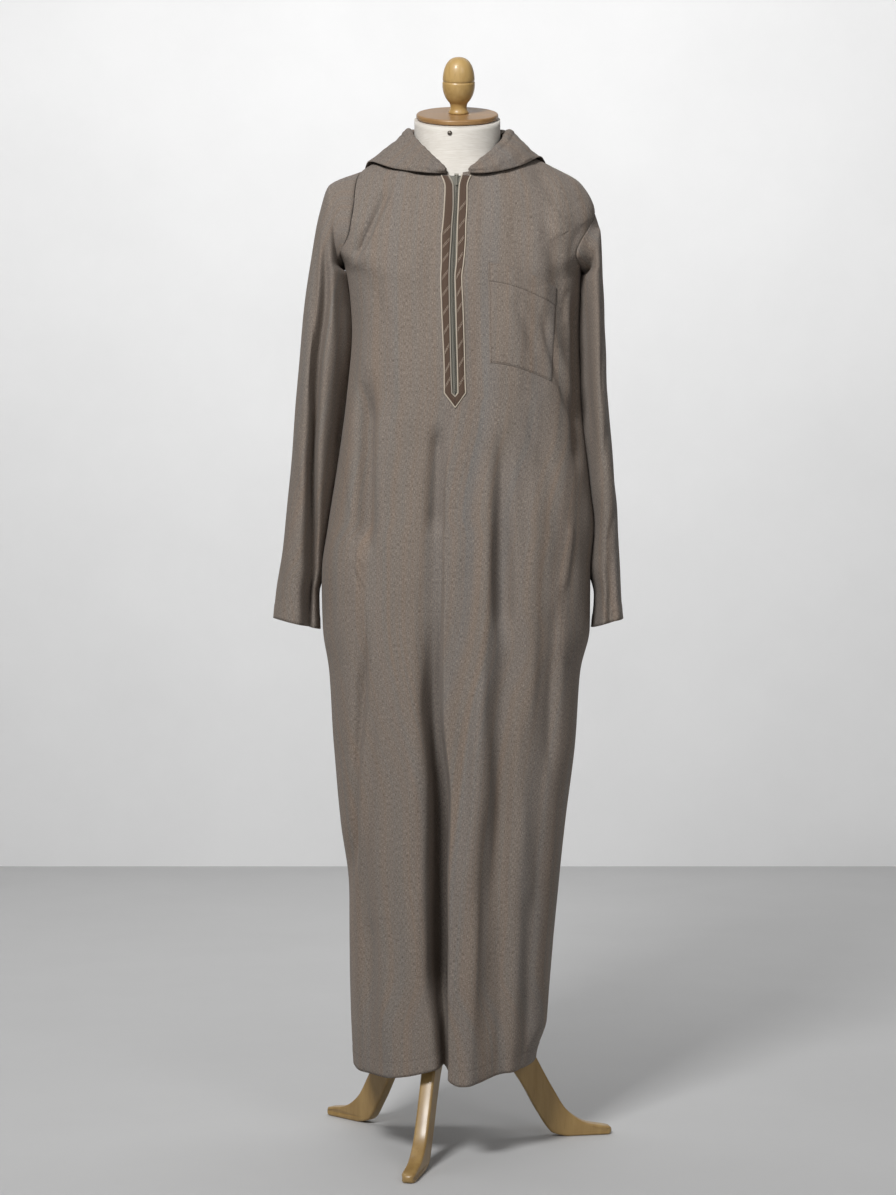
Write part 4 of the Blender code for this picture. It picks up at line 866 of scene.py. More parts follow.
# %% Sleeve sections
Cuff = namedtuple("Cuff", "z_outer x_outer z_inner x_inner y_front y_back")
SLEEVES = {
    "left": [
        Cuff(1.489, -0.181, 1.345, -0.169, -0.078, 0.080),
        Cuff(1.443, -0.199, 1.318, -0.164, -0.081, 0.085),
        Cuff(1.360, -0.2145, 1.275, -0.158, -0.082, 0.088),
        Cuff(1.250, -0.2280, 1.205, -0.1575, -0.080, 0.086),
        Cuff(1.130, -0.2387, 1.110, -0.1670, -0.077, 0.083),
        Cuff(1.030, -0.2450, 1.020, -0.1800, -0.075, 0.080),
        Cuff(0.930, -0.2558, 0.925, -0.1950, -0.074, 0.077),
        Cuff(0.860, -0.2665, 0.850, -0.2010, -0.074, 0.074),
        Cuff(0.815, -0.2710, 0.797, -0.2000, -0.074, 0.072),
    ],
    "right": [
        Cuff(1.420, 0.2350, 1.337, 0.2165, -0.064, 0.074),
        Cuff(1.370, 0.2390, 1.300, 0.2175, -0.071, 0.081),
        Cuff(1.280, 0.2425, 1.230, 0.2175, -0.081, 0.087),
        Cuff(1.180, 0.2460, 1.150, 0.2185, -0.080, 0.087),
        Cuff(1.080, 0.2535, 1.060, 0.2245, -0.078, 0.085),
        Cuff(0.980, 0.2625, 0.970, 0.2345, -0.076, 0.082),
        Cuff(0.900, 0.2650, 0.890, 0.2280, -0.075, 0.079),
        Cuff(0.850, 0.2670, 0.840, 0.2270, -0.075, 0.077),
        Cuff(0.814, 0.2700, 0.800, 0.2240, -0.075, 0.076),
    ],
}
SLEEVE_SQUARE = 2.1
# Troughs down the front of a sleeve: the width, then going down (height, x of the middle,
# share of the sleeve's front pressed in).
SLEEVE_TROUGHS = {
    "left": [
        (0.0065, [(1.400, -0.186, 0.05), (1.322, -0.189, 0.28), (1.214, -0.201, 0.45), (1.125, -0.207, 0.56),
                  (1.036, -0.2105, 0.62), (0.908, -0.2136, 0.64), (0.800, -0.2150, 0.62)]),
        (0.0140, [(1.400, -0.162, 0.35), (1.291, -0.158, 0.62), (1.227, -0.155, 0.68), (1.163, -0.163, 0.68),
                  (1.035, -0.179, 0.58), (0.930, -0.190, 0.42), (0.800, -0.197, 0.24)]),
    ],
    "right": [
        (0.0100, [(1.430, 0.208, 0.20), (1.350, 0.212, 0.42), (1.288, 0.2150, 0.56), (1.180, 0.2180, 0.62),
                  (1.050, 0.2240, 0.50), (0.950, 0.2290, 0.30), (0.800, 0.2240, 0.20)]),
        (0.0080, [(1.050, 0.250, 0.0), (0.950, 0.252, 0.10), (0.880, 0.250, 0.20), (0.800, 0.248, 0.26)]),
    ],
}
SLEEVE_EASE = 0.0012
ARM_LOW_Z = {
    "left": float(body_surface(math.pi, ARM_LOW)[2]),
    "right": float(body_surface(TURN, ARM_LOW)[2]),
}


def armhole_loop(side, levels):
    """The armhole's edge, from the shoulder down its front and up its back."""
    inside = levels[(levels > ARM_TOP[side]) & (levels < ARM_LOW)]
    opening = arm_opening(side, inside)
    flank = math.pi if side == "left" else TURN
    forward = 1 if side == "left" else -1
    top = body_surface(flank, ARM_TOP[side])
    low = body_surface(flank, ARM_LOW)
    front = body_surface(flank + forward * opening, inside)
    back = body_surface(flank - forward * opening, inside)
    return np.vstack([top[None], front, low[None], back[::-1]])


SLEEVE_CLEAR = 0.0016      # the sleeve hangs this far off the robe's side


def beside_body(side, rings):
    """Lets the inner half of a sleeve hang against the side of the robe, with no open gap."""
    sign = 1 if side == "right" else -1
    levels = np.arange(0, len(BODY) - 1, 0.05)
    flank = body_surface(np.full_like(levels, TURN if side == "right" else np.pi), levels)
    reach = np.interp(rings[..., 2], flank[::-1, 2], flank[::-1, 0] * sign) + SLEEVE_CLEAR
    across = rings[..., 0] * sign
    inner, outer = across.min(axis=1, keepdims=True), across.max(axis=1, keepdims=True)
    share = np.clip((outer - across) / (outer - inner), 0, 1)
    below = smoothstep((ARM_LOW_Z[side] - rings[..., 2]) / 0.012)
    below *= smoothstep((rings[..., 2] - 0.85) / 0.05)
    moved = np.clip(inner - reach, -0.02, 0.02) * share ** 1.5 + 0.006 * share ** 2
    rings[..., 0] -= sign * moved * below
    return rings


def surface_tree(points):
    faces, _, _ = quads(*points.shape[:2])
    return BVHTree.FromPolygons([Vector(p) for p in points.reshape(-1, 3)], faces.tolist())


front_tree = surface_tree(front_points)
back_tree = surface_tree(back_points)


def off_the_robe(side, points):
    """Keeps the inner half of a sleeve just outside the panels it hangs against."""
    sign = 1 if side == "right" else -1
    inward = Vector((-sign, 0, 0))
    for row, col in np.ndindex(points.shape[:2]):
        _, y, z = points[row, col]
        if z > ARM_LOW_Z[side] - 0.008:
            continue
        for tree in (front_tree, back_tree):
            met = tree.ray_cast(Vector((sign * 0.5, y, z)), inward)[0]
            if met is not None:
                points[row, col, 0] = sign * max(sign * points[row, col, 0], sign * met.x + SLEEVE_CLEAR)
    return points


def sleeve_grid(side, corner_count, ring_step):
    """The sleeve's rings from the armhole to the cuff: (rings, points round, 3)."""
    levels = np.linspace(ARM_TOP[side], ARM_LOW, corner_count // 2 + 1)[1:-1]
    loop = armhole_loop(side, levels)
    half = len(loop) // 2
    turn = np.pi * np.arange(len(loop)) / half
    sections = [loop]
    for cuff in SLEEVES[side]:
        share = (1 - np.cos(turn)) / 2
        rounding = signed_power(np.cos(turn), 2 / SLEEVE_SQUARE)
        middle = (cuff.x_outer + cuff.x_inner) / 2
        x = middle + (cuff.x_outer - cuff.x_inner) / 2 * rounding
        reach = np.where(np.sin(turn) > 0, cuff.y_front, cuff.y_back)
        y = reach * np.abs(np.sin(turn)) ** (2 / SLEEVE_SQUARE)
        z = cuff.z_outer + (cuff.z_inner - cuff.z_outer) * share
        sections.append(np.stack([x, y, z], axis=-1))
    sections = np.array(sections)
    lengths = np.linalg.norm(np.diff(sections, axis=0), axis=-1).mean(axis=1)
    rings = through_sections(sections, steps_between(lengths, ring_step))
    below_armhole = smoothstep(np.arange(len(rings)) / (0.10 * len(rings)))[:, None]
    for width, path in SLEEVE_TROUGHS[side]:
        levels, places, shares = np.array(path[::-1]).T
        off = (rings[..., 0] - curve_through(levels, places, rings[..., 2])) / width
        depth = curve_through(levels, shares, rings[..., 2]) * below_armhole
        rings[..., 1] *= np.where(np.sin(turn) > 0, 1 - depth * np.exp(-(off**2)), 1.0)
    rings = beside_body(side, rings)
    away = rings[1] - rings[0]
    rings[0] += away / np.linalg.norm(away, axis=1)[:, None] * SLEEVE_EASE
    return rings, turn


# Sleeve creases: x is the way round from the outer edge (in turns, front first), z the drop.
SLEEVE_CREASES = {
    "left": [
        Crease(0.10, -0.02, 0.22, -0.30, 0.0030, 0.030, 0.010),
        Crease(0.30, -0.05, 0.40, -0.34, 0.0030, 0.035, 0.010),
        Crease(0.05, -0.30, 0.30, -0.42, 0.0011, 0.022, 0.010),
        Crease(0.08, -0.38, 0.34, -0.50, 0.0010, 0.022, -0.010),
        Crease(0.12, -0.50, 0.40, -0.58, 0.0010, 0.020, 0.010),
        Crease(0.60, -0.10, 0.70, -0.40, 0.0034, 0.035, 0.010),
        Crease(0.80, -0.06, 0.78, -0.45, 0.0034, 0.035, 0.010),
        Crease(0.60, -0.40, 0.90, -0.48, 0.0026, 0.020, 0.010),
        Crease(0.62, -0.50, 0.92, -0.60, 0.0020, 0.020, -0.010),
    ],
    "right": [
        Crease(0.10, -0.02, 0.20, -0.26, 0.0026, 0.030, 0.010),
        Crease(0.34, -0.05, 0.30, -0.30, 0.0026, 0.030, 0.010),
        Crease(0.06, -0.26, 0.32, -0.36, 0.0022, 0.022, 0.010),
        Crease(0.10, -0.40, 0.40, -0.46, 0.0020, 0.022, -0.010),
        Crease(0.60, -0.08, 0.66, -0.36, 0.0034, 0.035, 0.010),
        Crease(0.82, -0.06, 0.76, -0.42, 0.0034, 0.035, 0.010),
        Crease(0.62, -0.36, 0.92, -0.44, 0.0024, 0.020, 0.010),
    ],
}


def make_sleeve(side):
    rings, turn = sleeve_grid(side, 112, 0.0058)
    around = np.broadcast_to(turn / TURN, rings.shape[:2])
    drop = rings[..., 2] - rings[0, :, 2]
    relief = -crease_depth(SLEEVE_CREASES[side], around, drop)
    seed = 31 if side == "left" else 32
    relief += slow_waves(np.cos(turn) * 0.05 + 0 * drop, drop * 0.6, 0.14, 0.0026, seed)
    relief += slow_waves(np.sin(turn) * 0.05 + 0 * drop, drop * 0.5, 0.06, 0.0010, seed + 2)
    along = np.arange(len(rings)) / (len(rings) - 1)
    relief *= smoothstep(along / 0.22)[:, None]
    cuff = np.linalg.norm(rings - rings[-1:], axis=-1)
    relief += hem_relief(cuff, 0.0)
    normals = grid_normals(rings, closed=True)
    outward = 1 if side == "left" else -1
    points = off_the_robe(side, rings + normals * relief[..., None] * outward)
    if side == "left":
        points = points[:, ::-1]
    cut = flat_map(points, 0, closed=True)
    obj = cloth_object("robe_sleeve_" + side, points, WOOL, cut, closed=True)
    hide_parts("sleeve_" + side)
    declare_sheet(obj, cut, area_of(points, closed=True), SEAM_ALLOWANCE)
    return points


sleeves = {side: make_sleeve(side) for side in ("left", "right")}

# %% [markdown]
# ## The hood
# The hood is thrown back. It stands up round the neck, rolls over, and its point hangs
# down the back as a flat double pouch. Each half is a strip from the throat round to the
# centre seam, folded under where it meets the robe.

# %% Hood
Hood = namedtuple("Hood", "angle edge_r edge_z crest_r crest_z swell_r swell_z fold lift")
HOOD = {
    "left": [
        Hood(258, 0.0800, 1.4975, 0.0835, 1.4990, 0.0880, 1.4965, 0.30, 0.0032),
        Hood(240, 0.0730, 1.5180, 0.0780, 1.5220, 0.0930, 1.5120, 0.75, 0.0040),
        Hood(215, 0.0715, 1.5450, 0.0775, 1.5510, 0.0990, 1.5300, 1.35, 0.0050),
        Hood(180, 0.0715, 1.5730, 0.0765, 1.5785, 0.1000, 1.5540, 1.80, 0.0060),
        Hood(150, 0.0750, 1.5750, 0.0820, 1.5820, 0.1190, 1.5480, 2.40, 0.0080),
        Hood(130, 0.0765, 1.5740, 0.0860, 1.5850, 0.1330, 1.5380, 3.70, 0.0110),
        Hood(110, 0.0770, 1.5720, 0.0890, 1.5850, 0.1440, 1.5220, 6.30, 0.0150),
        Hood(90, 0.0770, 1.5700, 0.0910, 1.5850, 0.1500, 1.5100, 7.70, 0.0190),
    ],
    "right": [
        Hood(282, 0.0800, 1.4975, 0.0835, 1.4990, 0.0880, 1.4965, 0.30, 0.0032),
        Hood(300, 0.0735, 1.5150, 0.0790, 1.5190, 0.0950, 1.5100, 0.75, 0.0040),
        Hood(325, 0.0725, 1.5400, 0.0800, 1.5460, 0.1050, 1.5280, 1.25, 0.0050),
        Hood(360, 0.0735, 1.5680, 0.0810, 1.5770, 0.1100, 1.5470, 1.65, 0.0060),
        Hood(390, 0.0760, 1.5740, 0.0845, 1.5820, 0.1220, 1.5470, 2.40, 0.0080),
        Hood(410, 0.0770, 1.5735, 0.0870, 1.5850, 0.1340, 1.5370, 3.70, 0.0110),
        Hood(430, 0.0775, 1.5720, 0.0900, 1.5850, 0.1450, 1.5220, 6.30, 0.0150),
        Hood(450, 0.0770, 1.5700, 0.0910, 1.5850, 0.1500, 1.5100, 7.70, 0.0190),
    ],
}
HOOD_UNDER = 0.0055
HOOD_UNDER_SHARES = (0.94, 0.77, 0.6, 0.46, 0.33, 0.22, 0.14, 0.07, 0.02)
HOOD_SEAM = 0.0006
HOOD_BAND = 0.019          # the hem turned in along the hood's face
HOOD_TRIM = {"left": 0.08, "right": 0.12}


def outward_normals(angle, level):
    step = 1e-3
    across = body_surface(angle + step, level) - body_surface(angle - step, level)
    down = body_surface(angle, level + step) - body_surface(angle, level - step)
    normal = np.cross(down, across)
    return normal / np.linalg.norm(normal, axis=-1, keepdims=True)


def above_body(angle, level, lift):
    level = np.clip(level, 0.002, len(BODY) - 1.002)
    return body_surface(angle, level) + outward_normals(angle, level) * np.asarray(lift)[..., None]


def hood_grid(side, columns, row_step):
    table = HOOD[side]
    degrees = np.array(column(table, "angle"), float)
    order = 1 if degrees[-1] > degrees[0] else -1
    angles = np.linspace(degrees[0], degrees[-1], columns)
    at = {
        field: curve_through(degrees * order, column(table, field), angles * order)
        for field in Hood._fields[1:]
    }
    turn = np.radians(angles)
    flank = np.abs(np.cos(turn)) ** 3 * (np.sin(turn) < 0.5)
    at["fold"] = at["fold"] * (1 - HOOD_TRIM[side] * flank)
    at["lift"] = at["lift"] * (1 - 0.75 * flank)
    at["crest_z"] = at["crest_z"] - 0.003 * flank
    turn[-1] -= order * HOOD_SEAM / 2 / 0.1
    heading = np.stack([np.cos(turn), np.sin(turn)], axis=-1)

    def standing(radius, height):
        return np.concatenate([(NECK_X, 0.0) + heading * radius[:, None], height[:, None]], axis=1)

    fold = at["fold"]
    knots = [
        standing(at["edge_r"], at["edge_z"]),
        standing(at["crest_r"], at["crest_z"]),
        standing(at["swell_r"], at["swell_z"]),
        above_body(turn, fold * 0.80, at["lift"] * 2.0 + HOOD_UNDER),
        above_body(turn, fold, at["lift"] + HOOD_UNDER),
        above_body(turn, fold * 1.02 + 0.02, at["lift"] * 0.4 + HOOD_UNDER),
    ]
    under = np.full_like(fold, HOOD_UNDER)
    knots += [above_body(turn, fold * share + 0.02, under) for share in HOOD_UNDER_SHARES]
    knots = np.array(knots)
    lengths = np.linalg.norm(np.diff(knots, axis=0), axis=-1).max(axis=1)
    at = steps_between(lengths, row_step, 3)
    return through_sections(knots, at), at, angles


def make_hood(side):
    grid, at, angles = hood_grid(side, 130, 0.0045)
    away = np.linalg.norm(np.diff(grid, axis=0), axis=-1)
    from_edge = np.concatenate([np.zeros((1, grid.shape[1])), np.cumsum(away, axis=0)])
    upper = (1 - smoothstep((at - 3.6) / 0.8))[:, None]
    past_band = from_edge - HOOD_BAND
    relief = 0.0010 * (1 - smoothstep(past_band / 0.003)) - 0.0018 * np.exp(-((past_band / 0.0020) ** 2))
    round_neck = np.radians(angles)[None] * 0.12 + 0 * from_edge
    seed = 41 if side == "left" else 42
    large = slow_waves(round_neck, from_edge, 0.075, 0.0040, seed) * smoothstep(from_edge / 0.03)
    small = slow_waves(round_neck * 2, from_edge, 0.03, 0.0018, seed + 2)
    relief = relief + large * upper + small * upper
    seam = edge_fade(grid.shape[1], 0.02)[None]
    normals = grid_normals(grid)
    middle = normals[len(at) // 4, grid.shape[1] // 2]
    heading = grid[len(at) // 4, grid.shape[1] // 2] - (NECK_X, 0.0, 1.50)
    outward = 1.0 if float(np.dot(middle, heading)) > 0 else -1.0
    points = grid + normals * (relief * seam * outward)[..., None]
    if outward < 0:
        points = points[:, ::-1]
    cut = strip_map(points)
    # The hood takes the darker copy of the wool, which is painted shade.
    obj = cloth_object("robe_hood_" + side, points, WOOL_HOOD_PAINTED_SHADE, cut)
    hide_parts("hood_" + side)
    declare_sheet(obj, cut, area_of(points), SEAM_ALLOWANCE)


for side in ("left", "right"):
    make_hood(side)

# %% [markdown]
# ## What lies on the front
# Everything sewn to the front is made from points of the front itself, moved out by a
# lift. A ray from in front of the robe finds the point for a place across and a height.

# %% Points on the front
def on_front(x, z, lift):
    location, normal, _, _ = front_tree.ray_cast(Vector((x, -1.0, z)), Vector((0, 1, 0)))
    if normal.y > 0:
        normal = -normal
    return np.array(location + normal * lift)


def trim_at(field, z):
    return float(curve_through(column(TRIM, "z")[::-1], column(TRIM, field)[::-1], z))


TOP_OF_TRIM = TRIM[0].z - 0.004
CORD = 0.0022
BRAID_LIFT = CLOTH / 2 + 0.0011

# %% Braid bands
def make_braid(side):
    """One band from the neckline to the pointed end, where it is mitred."""
    sign = 1 if side == "right" else -1
    clear = CORD / 2
    shares = np.linspace(0, 1, 9)
    crown = 0.0005 * (1 - (2 * shares - 1) ** 4)
    rows = []
    for z in np.linspace(TOP_OF_TRIM, TRIM[-1].z, 150):
        start = trim_at("inner_" + side, z) + sign * clear
        end = trim_at("outer_" + side, z) - sign * clear
        rows.append([(start + (end - start) * share, z) for share in shares])
    last = rows[-1]
    centre = BRAID_POINT[0] + sign * 0.0002
    top, tip = BRAID_INNER_POINT[1] - clear * 1.3, BRAID_POINT[1] + clear * 1.3
    mitre = [(centre, top + (tip - top) * share) for share in shares]
    for part in np.linspace(0, 1, 13)[1:]:
        rows.append([tuple(np.array(a) + (np.array(b) - a) * part) for a, b in zip(last, mitre)])
    points = [[on_front(x, z, BRAID_LIFT + lift) for (x, z), lift in zip(row, crown)] for row in rows]
    points = np.array(points)
    if side == "left":
        points = points[:, ::-1]
    cut = flat_map(points, 4)
    obj = cloth_object("robe_braid_" + side, points, BRAID_LOOK, cut, wall=0.0009)
    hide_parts("braid_" + side)
    declare_sheet(obj, cut, area_of(points))


for side in ("left", "right"):
    make_braid(side)

# %% Zip tapes
def make_tape(side):
    sign = 1 if side == "right" else -1
    shares = np.linspace(0, 1, 8)
    rows = []
    for z in np.linspace(TRIM[0].z - 0.002, SLIT_END_Z - 0.004, 90):
        start = trim_at("zip", z) + sign * 0.0006
        end = trim_at("inner_" + side, z) + sign * 0.006
        rows.append([on_front(start + (end - start) * share, z, -CLOTH / 2 - 0.0008) for share in shares])
    points = np.array(rows)
    if side == "left":
        points = points[:, ::-1]
    cut = flat_map(points, 0)
    obj = cloth_object("robe_zip_tape_" + side, points, TAPE_LOOK, cut, wall=0.0006)
    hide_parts("zip_tape_" + side)
    declare_sheet(obj, cut, area_of(points))


for side in ("left", "right"):
    make_tape(side)

# %% [markdown]
# ## Things that repeat along a line
# Cord, stitches and zip teeth all follow a path. The path is a plain string of edges. A
# Geometry Nodes tree turns it into a curve and either sweeps a section along it or sets
# small pieces along it, then makes real geometry of them and gives them their material.

# %% Geometry Nodes helpers
class Tree:
    """A Geometry Nodes tree with named inputs."""

    def __init__(self, name, numbers, vectors=()):
        self.group = bpy.data.node_groups.new(name, "GeometryNodeTree")
        face = self.group.interface
        face.new_socket("Geometry", in_out="INPUT", socket_type="NodeSocketGeometry")
        kinds = {"NodeSocketFloat": numbers, "NodeSocketVector": vectors, "NodeSocketMaterial": ["Material"]}
        for kind, labels in kinds.items():
            for label in labels:
                face.new_socket(label, in_out="INPUT", socket_type=kind)
        face.new_socket("Geometry", in_out="OUTPUT", socket_type="NodeSocketGeometry")
        self.given = self.group.nodes.new("NodeGroupInput").outputs
        self.result = self.group.nodes.new("NodeGroupOutput").inputs

    def node(self, kind, settings=None, sockets=None):
        made = self.group.nodes.new(kind)
        for key, value in (settings or {}).items():
            setattr(made, key, value)
        for key, value in (sockets or {}).items():
            if isinstance(value, bpy.types.NodeSocket):
                self.group.links.new(value, made.inputs[key])
            else:
                made.inputs[key].default_value = value
        return made.outputs

    def finish(self, geometry):
        real = self.node("GeometryNodeRealizeInstances", {}, {0: geometry})
        smooth = self.node("GeometryNodeSetShadeSmooth", {}, {0: real[0]})
        named = self.node("GeometryNodeSetMaterial", {}, {0: smooth[0], "Material": self.given["Material"]})
        self.group.links.new(named[0], self.result[0])
        return self.group


def maths(tree, operation, first, second):
    return tree.node("ShaderNodeMath", {"operation": operation}, {0: first, 1: second})[0]


def points_along(tree):
    """Points set a pitch apart along the path."""
    curve = tree.node("GeometryNodeMeshToCurve", {}, {0: tree.given["Geometry"]})
    spacing = {0: curve[0], "Length": tree.given["Pitch"]}
    return tree.node("GeometryNodeCurveToPoints", {"mode": "LENGTH"}, spacing)


def cord_tree():
    """A cord laid in three strands: a lobed section that turns as it goes."""
    tree = Tree("laid_cord", ["Radius", "Twist", "Step", "Strands"])
    curve = tree.node("GeometryNodeMeshToCurve", {}, {0: tree.given["Geometry"]})
    spacing = {0: curve[0], "Length": tree.given["Step"]}
    curve = tree.node("GeometryNodeResampleCurve", {"mode": "LENGTH"}, spacing)
    along = tree.node("GeometryNodeSplineParameter")["Length"]
    tilt = maths(tree, "MULTIPLY", along, tree.given["Twist"])
    curve = tree.node("GeometryNodeSetCurveTilt", {}, {0: curve[0], "Tilt": tilt})
    circle = {"Resolution": 12, "Radius": tree.given["Radius"]}
    ring = tree.node("GeometryNodeCurvePrimitiveCircle", {}, circle)
    share = tree.node("GeometryNodeSplineParameter")["Factor"]
    lobes = maths(tree, "MULTIPLY", maths(tree, "MULTIPLY", share, TURN), tree.given["Strands"])
    lobes = maths(tree, "MULTIPLY", maths(tree, "COSINE", lobes, 0.0), 0.16)
    place = tree.node("GeometryNodeInputPosition")[0]
    out = tree.node("ShaderNodeVectorMath", {"operation": "SCALE"}, {0: place, "Scale": lobes})
    ring = tree.node("GeometryNodeSetPosition", {}, {0: ring[0], "Offset": out[0]})
    swept = tree.node("GeometryNodeCurveToMesh", {}, {0: curve[0], 1: ring[0], "Fill Caps": True})
    return tree.finish(swept[0])


def stitch_tree():
    """Short rounded stitches set end to end along a path."""
    tree = Tree("stitches", ["Pitch", "Length", "Thickness"])
    places = points_along(tree)
    grain = tree.node("GeometryNodeMeshUVSphere", {}, {"Segments": 6, "Rings": 4, "Radius": 0.5})
    thick = tree.given["Thickness"]
    size = tree.node("ShaderNodeCombineXYZ", {}, {0: thick, 1: thick, 2: tree.given["Length"]})
    sockets = {0: places[0], "Instance": grain[0], "Rotation": places["Rotation"], "Scale": size[0]}
    placed = tree.node("GeometryNodeInstanceOnPoints", {}, sockets)
    return tree.finish(placed[0])


def teeth_tree():
    """Zip teeth, which stand a little to each side by turns."""
    tree = Tree("zip_teeth", ["Pitch", "Offset"], ["Size"])
    places = points_along(tree)
    index = tree.node("GeometryNodeInputIndex")[0]
    side = maths(tree, "MODULO", index, 2.0)
    side = maths(tree, "SUBTRACT", maths(tree, "MULTIPLY", side, 2.0), 1.0)
    shift = tree.node("ShaderNodeCombineXYZ", {}, {0: maths(tree, "MULTIPLY", side, tree.given["Offset"])})
    moved = tree.node("GeometryNodeSetPosition", {}, {0: places[0], "Offset": shift[0]})
    tooth = tree.node("GeometryNodeMeshCube", {}, {"Size": tree.given["Size"]})
    placed = tree.node("GeometryNodeInstanceOnPoints", {}, {0: moved[0], "Instance": tooth[0]})
    return tree.finish(placed[0])


TREES = {"cord": cord_tree(), "stitches": stitch_tree(), "teeth": teeth_tree()}


def along_path(name, paths, tree, slot, **inputs):
    """Runs a tree on one or more paths of points in the stand's frame, and keeps the mesh."""
    vertices, edges = [], []
    for path in paths:
        first = len(vertices)
        vertices += [tuple(map(float, np.array(point) + (0.0, STAND_Y, 0.0))) for point in path]
        edges += [(first + i, first + i + 1) for i in range(len(path) - 1)]
    mesh = bpy.data.meshes.new(name)
    mesh.from_pydata(vertices, edges, [])
    obj = bpy.data.objects.new(name, mesh)
    bpy.context.scene.collection.objects.link(obj)
    group = TREES[tree]
    modifier = obj.modifiers.new(tree, "NODES")
    modifier.node_group = group
    for item in group.interface.items_tree:
        if item.in_out == "INPUT" and item.name in inputs:
            modifier[item.identifier] = inputs[item.name]
    plain_mesh(obj)
    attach(obj, "root")
    print(name, len(obj.data.polygons), "faces")
    return obj


# %% Cord round the braid
CORD_LIFT = CLOTH / 2 + 0.0003 + CORD / 2


def cord_line(field):
    heights = np.linspace(TOP_OF_TRIM, TRIM[-1].z, 140)
    return [on_front(trim_at(field, z), z, CORD_LIFT) for z in heights]


def cord(name, path, look, node):
    sizes = {"Radius": CORD / 2 / 1.12, "Twist": 1500.0, "Step": 0.0007, "Strands": 3.0}
    obj = along_path(name, [path], "cord", "piping", Material=look, **sizes)
    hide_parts(node)


outer_tip = [on_front(*BRAID_POINT, CORD_LIFT)]
inner_tip = [on_front(*BRAID_INNER_POINT, CORD_LIFT)]
outer_path = cord_line("outer_left") + outer_tip + cord_line("outer_right")[::-1]
cord("robe_cord_outer", outer_path, CORD_LOOK, "piping_outer")
# The inner left cord takes the darker copy of the cream cord, as painted shade.
cord("robe_cord_inner_left", cord_line("inner_left") + inner_tip, CORD_PAINTED_SHADE_LOOK, "piping_inner")
cord("robe_cord_inner_right", cord_line("inner_right") + inner_tip, CORD_LOOK, "piping_inner")

# %% Cream strokes across the braid
STROKE_RISE = 0.011
STROKES = {
    "left": (1.395, 1.374, 1.352, 1.325, 1.300, 1.272, 1.243, 1.214, 1.186, 1.164),
    "right": (1.432, 1.404, 1.378, 1.352, 1.327, 1.300, 1.276, 1.248, 1.222, 1.194, 1.166),
}


def braid_strokes(side):
    """Pairs of slanting threads that catch the light in the braid."""
    sign = 1 if side == "right" else -1
    lines = []
    for z in STROKES[side]:
        for offset in (0.0, -0.0030):
            low, high = z + offset, z + offset + STROKE_RISE
            inner = trim_at("inner_" + side, z) + sign * (CORD / 2 + 0.0012)
            outer = trim_at("outer_" + side, z) - sign * (CORD / 2 + 0.0012)
            ends = [(outer, low), (inner, high)] if side == "left" else [(inner, low), (outer, high)]
            lines.append(front_line(ends, BRAID_LIFT + 0.0010, 8))
    return lines


def front_line(places, lift, count=60):
    """A smooth line through places (x, z) on the front."""
    places = np.array(places, float)
    keys = np.concatenate([[0.0], np.cumsum(np.linalg.norm(np.diff(places, axis=0), axis=1))])
    at = np.linspace(0, keys[-1], count)
    across, up = (curve_through(keys, places[:, axis], at) for axis in (0, 1))
    return [on_front(x, z, lift) for x, z in zip(across, up)]


along_path(
    "robe_braid_strokes", braid_strokes("left") + braid_strokes("right"), "stitches", "braid",
    Pitch=0.0020, Length=0.0024, Thickness=0.00055, Material=CREAM_THREAD_LOOK,
)

# %% Zip teeth, slider and pull tab
def refinish(node, look):
    """Gives its finish to a node of the solid model that shows as it is."""
    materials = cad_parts[node].data.materials
    materials.clear()
    materials.append(look)


teeth_heights = np.linspace(1.480, SLIT_END_Z + 0.002, 120)
teeth = along_path(
    "robe_zip_teeth", [[on_front(trim_at("zip", z), z, 0.0) for z in teeth_heights]], "teeth", "zip_metal",
    Pitch=0.00135, Offset=0.00055, Size=(0.0019, 0.0012, 0.0009), Material=ZIP_LOOK,
)
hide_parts("zip_chain")
refinish("zip_slider", ZIP_LOOK)
refinish("pull_tab", ZIP_LOOK)

# %% [markdown]
# ## Pockets
# The chest pocket is a patch with a deep turned top. The side pockets are bags inside the
# robe, sewn through the front, so only their stitched outlines show.

# %% Chest pocket
Patch = namedtuple(
    "Patch", "x_left_top x_right_top x_left_low x_right_low z_left_top z_right_top z_left_low z_right_low"
)
CHEST_POCKET = Patch(0.0600, 0.1640, 0.0630, 0.1560, 1.3490, 1.3150, 1.1970, 1.1720)
POCKET_BAGS = {
    "left": Patch(-0.160, -0.142, -0.176, -0.118, 1.062, 1.046, 0.752, 0.722),
    "right": Patch(0.176, 0.208, 0.164, 0.196, 1.000, 0.985, 0.770, 0.735),
}
POCKET_BOW = 0.006         # the pocket's lines bow up a little over the chest


def patch_place(patch, down, share):
    start = patch.x_left_top + (patch.x_left_low - patch.x_left_top) * down
    end = patch.x_right_top + (patch.x_right_low - patch.x_right_top) * down
    z_start = patch.z_left_top + (patch.z_left_low - patch.z_left_top) * down
    z_end = patch.z_right_top + (patch.z_right_low - patch.z_right_top) * down
    return start + (end - start) * share, z_start + (z_end - z_start) * share


def pocket_place(down, share):
    x, z = patch_place(CHEST_POCKET, down, share)
    return x, z + POCKET_BOW * 4 * share * (1 - share) * (1 - share * 0.4)


def make_patch(name, place, lift, rows, columns, relief, node, wall=CLOTH):
    points = np.empty((rows, columns, 3))
    for row in range(rows):
        for col in range(columns):
            down, share = row / (rows - 1), col / (columns - 1)
            x, z = place(down, share)
            points[row, col] = on_front(x, z, lift + relief(down, share))
    cut = flat_map(points, columns // 2)
    obj = cloth_object(name, points, WOOL, cut, wall=wall)
    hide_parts(node)
    declare_sheet(obj, cut, area_of(points))


POCKET_WALL = 0.0007       # a thinner wall, so that the patch stands little above the front
POCKET_LIFT = CLOTH / 2 + 0.0006
POCKET_HEM = 0.185         # share of the pocket's height taken by its turned top


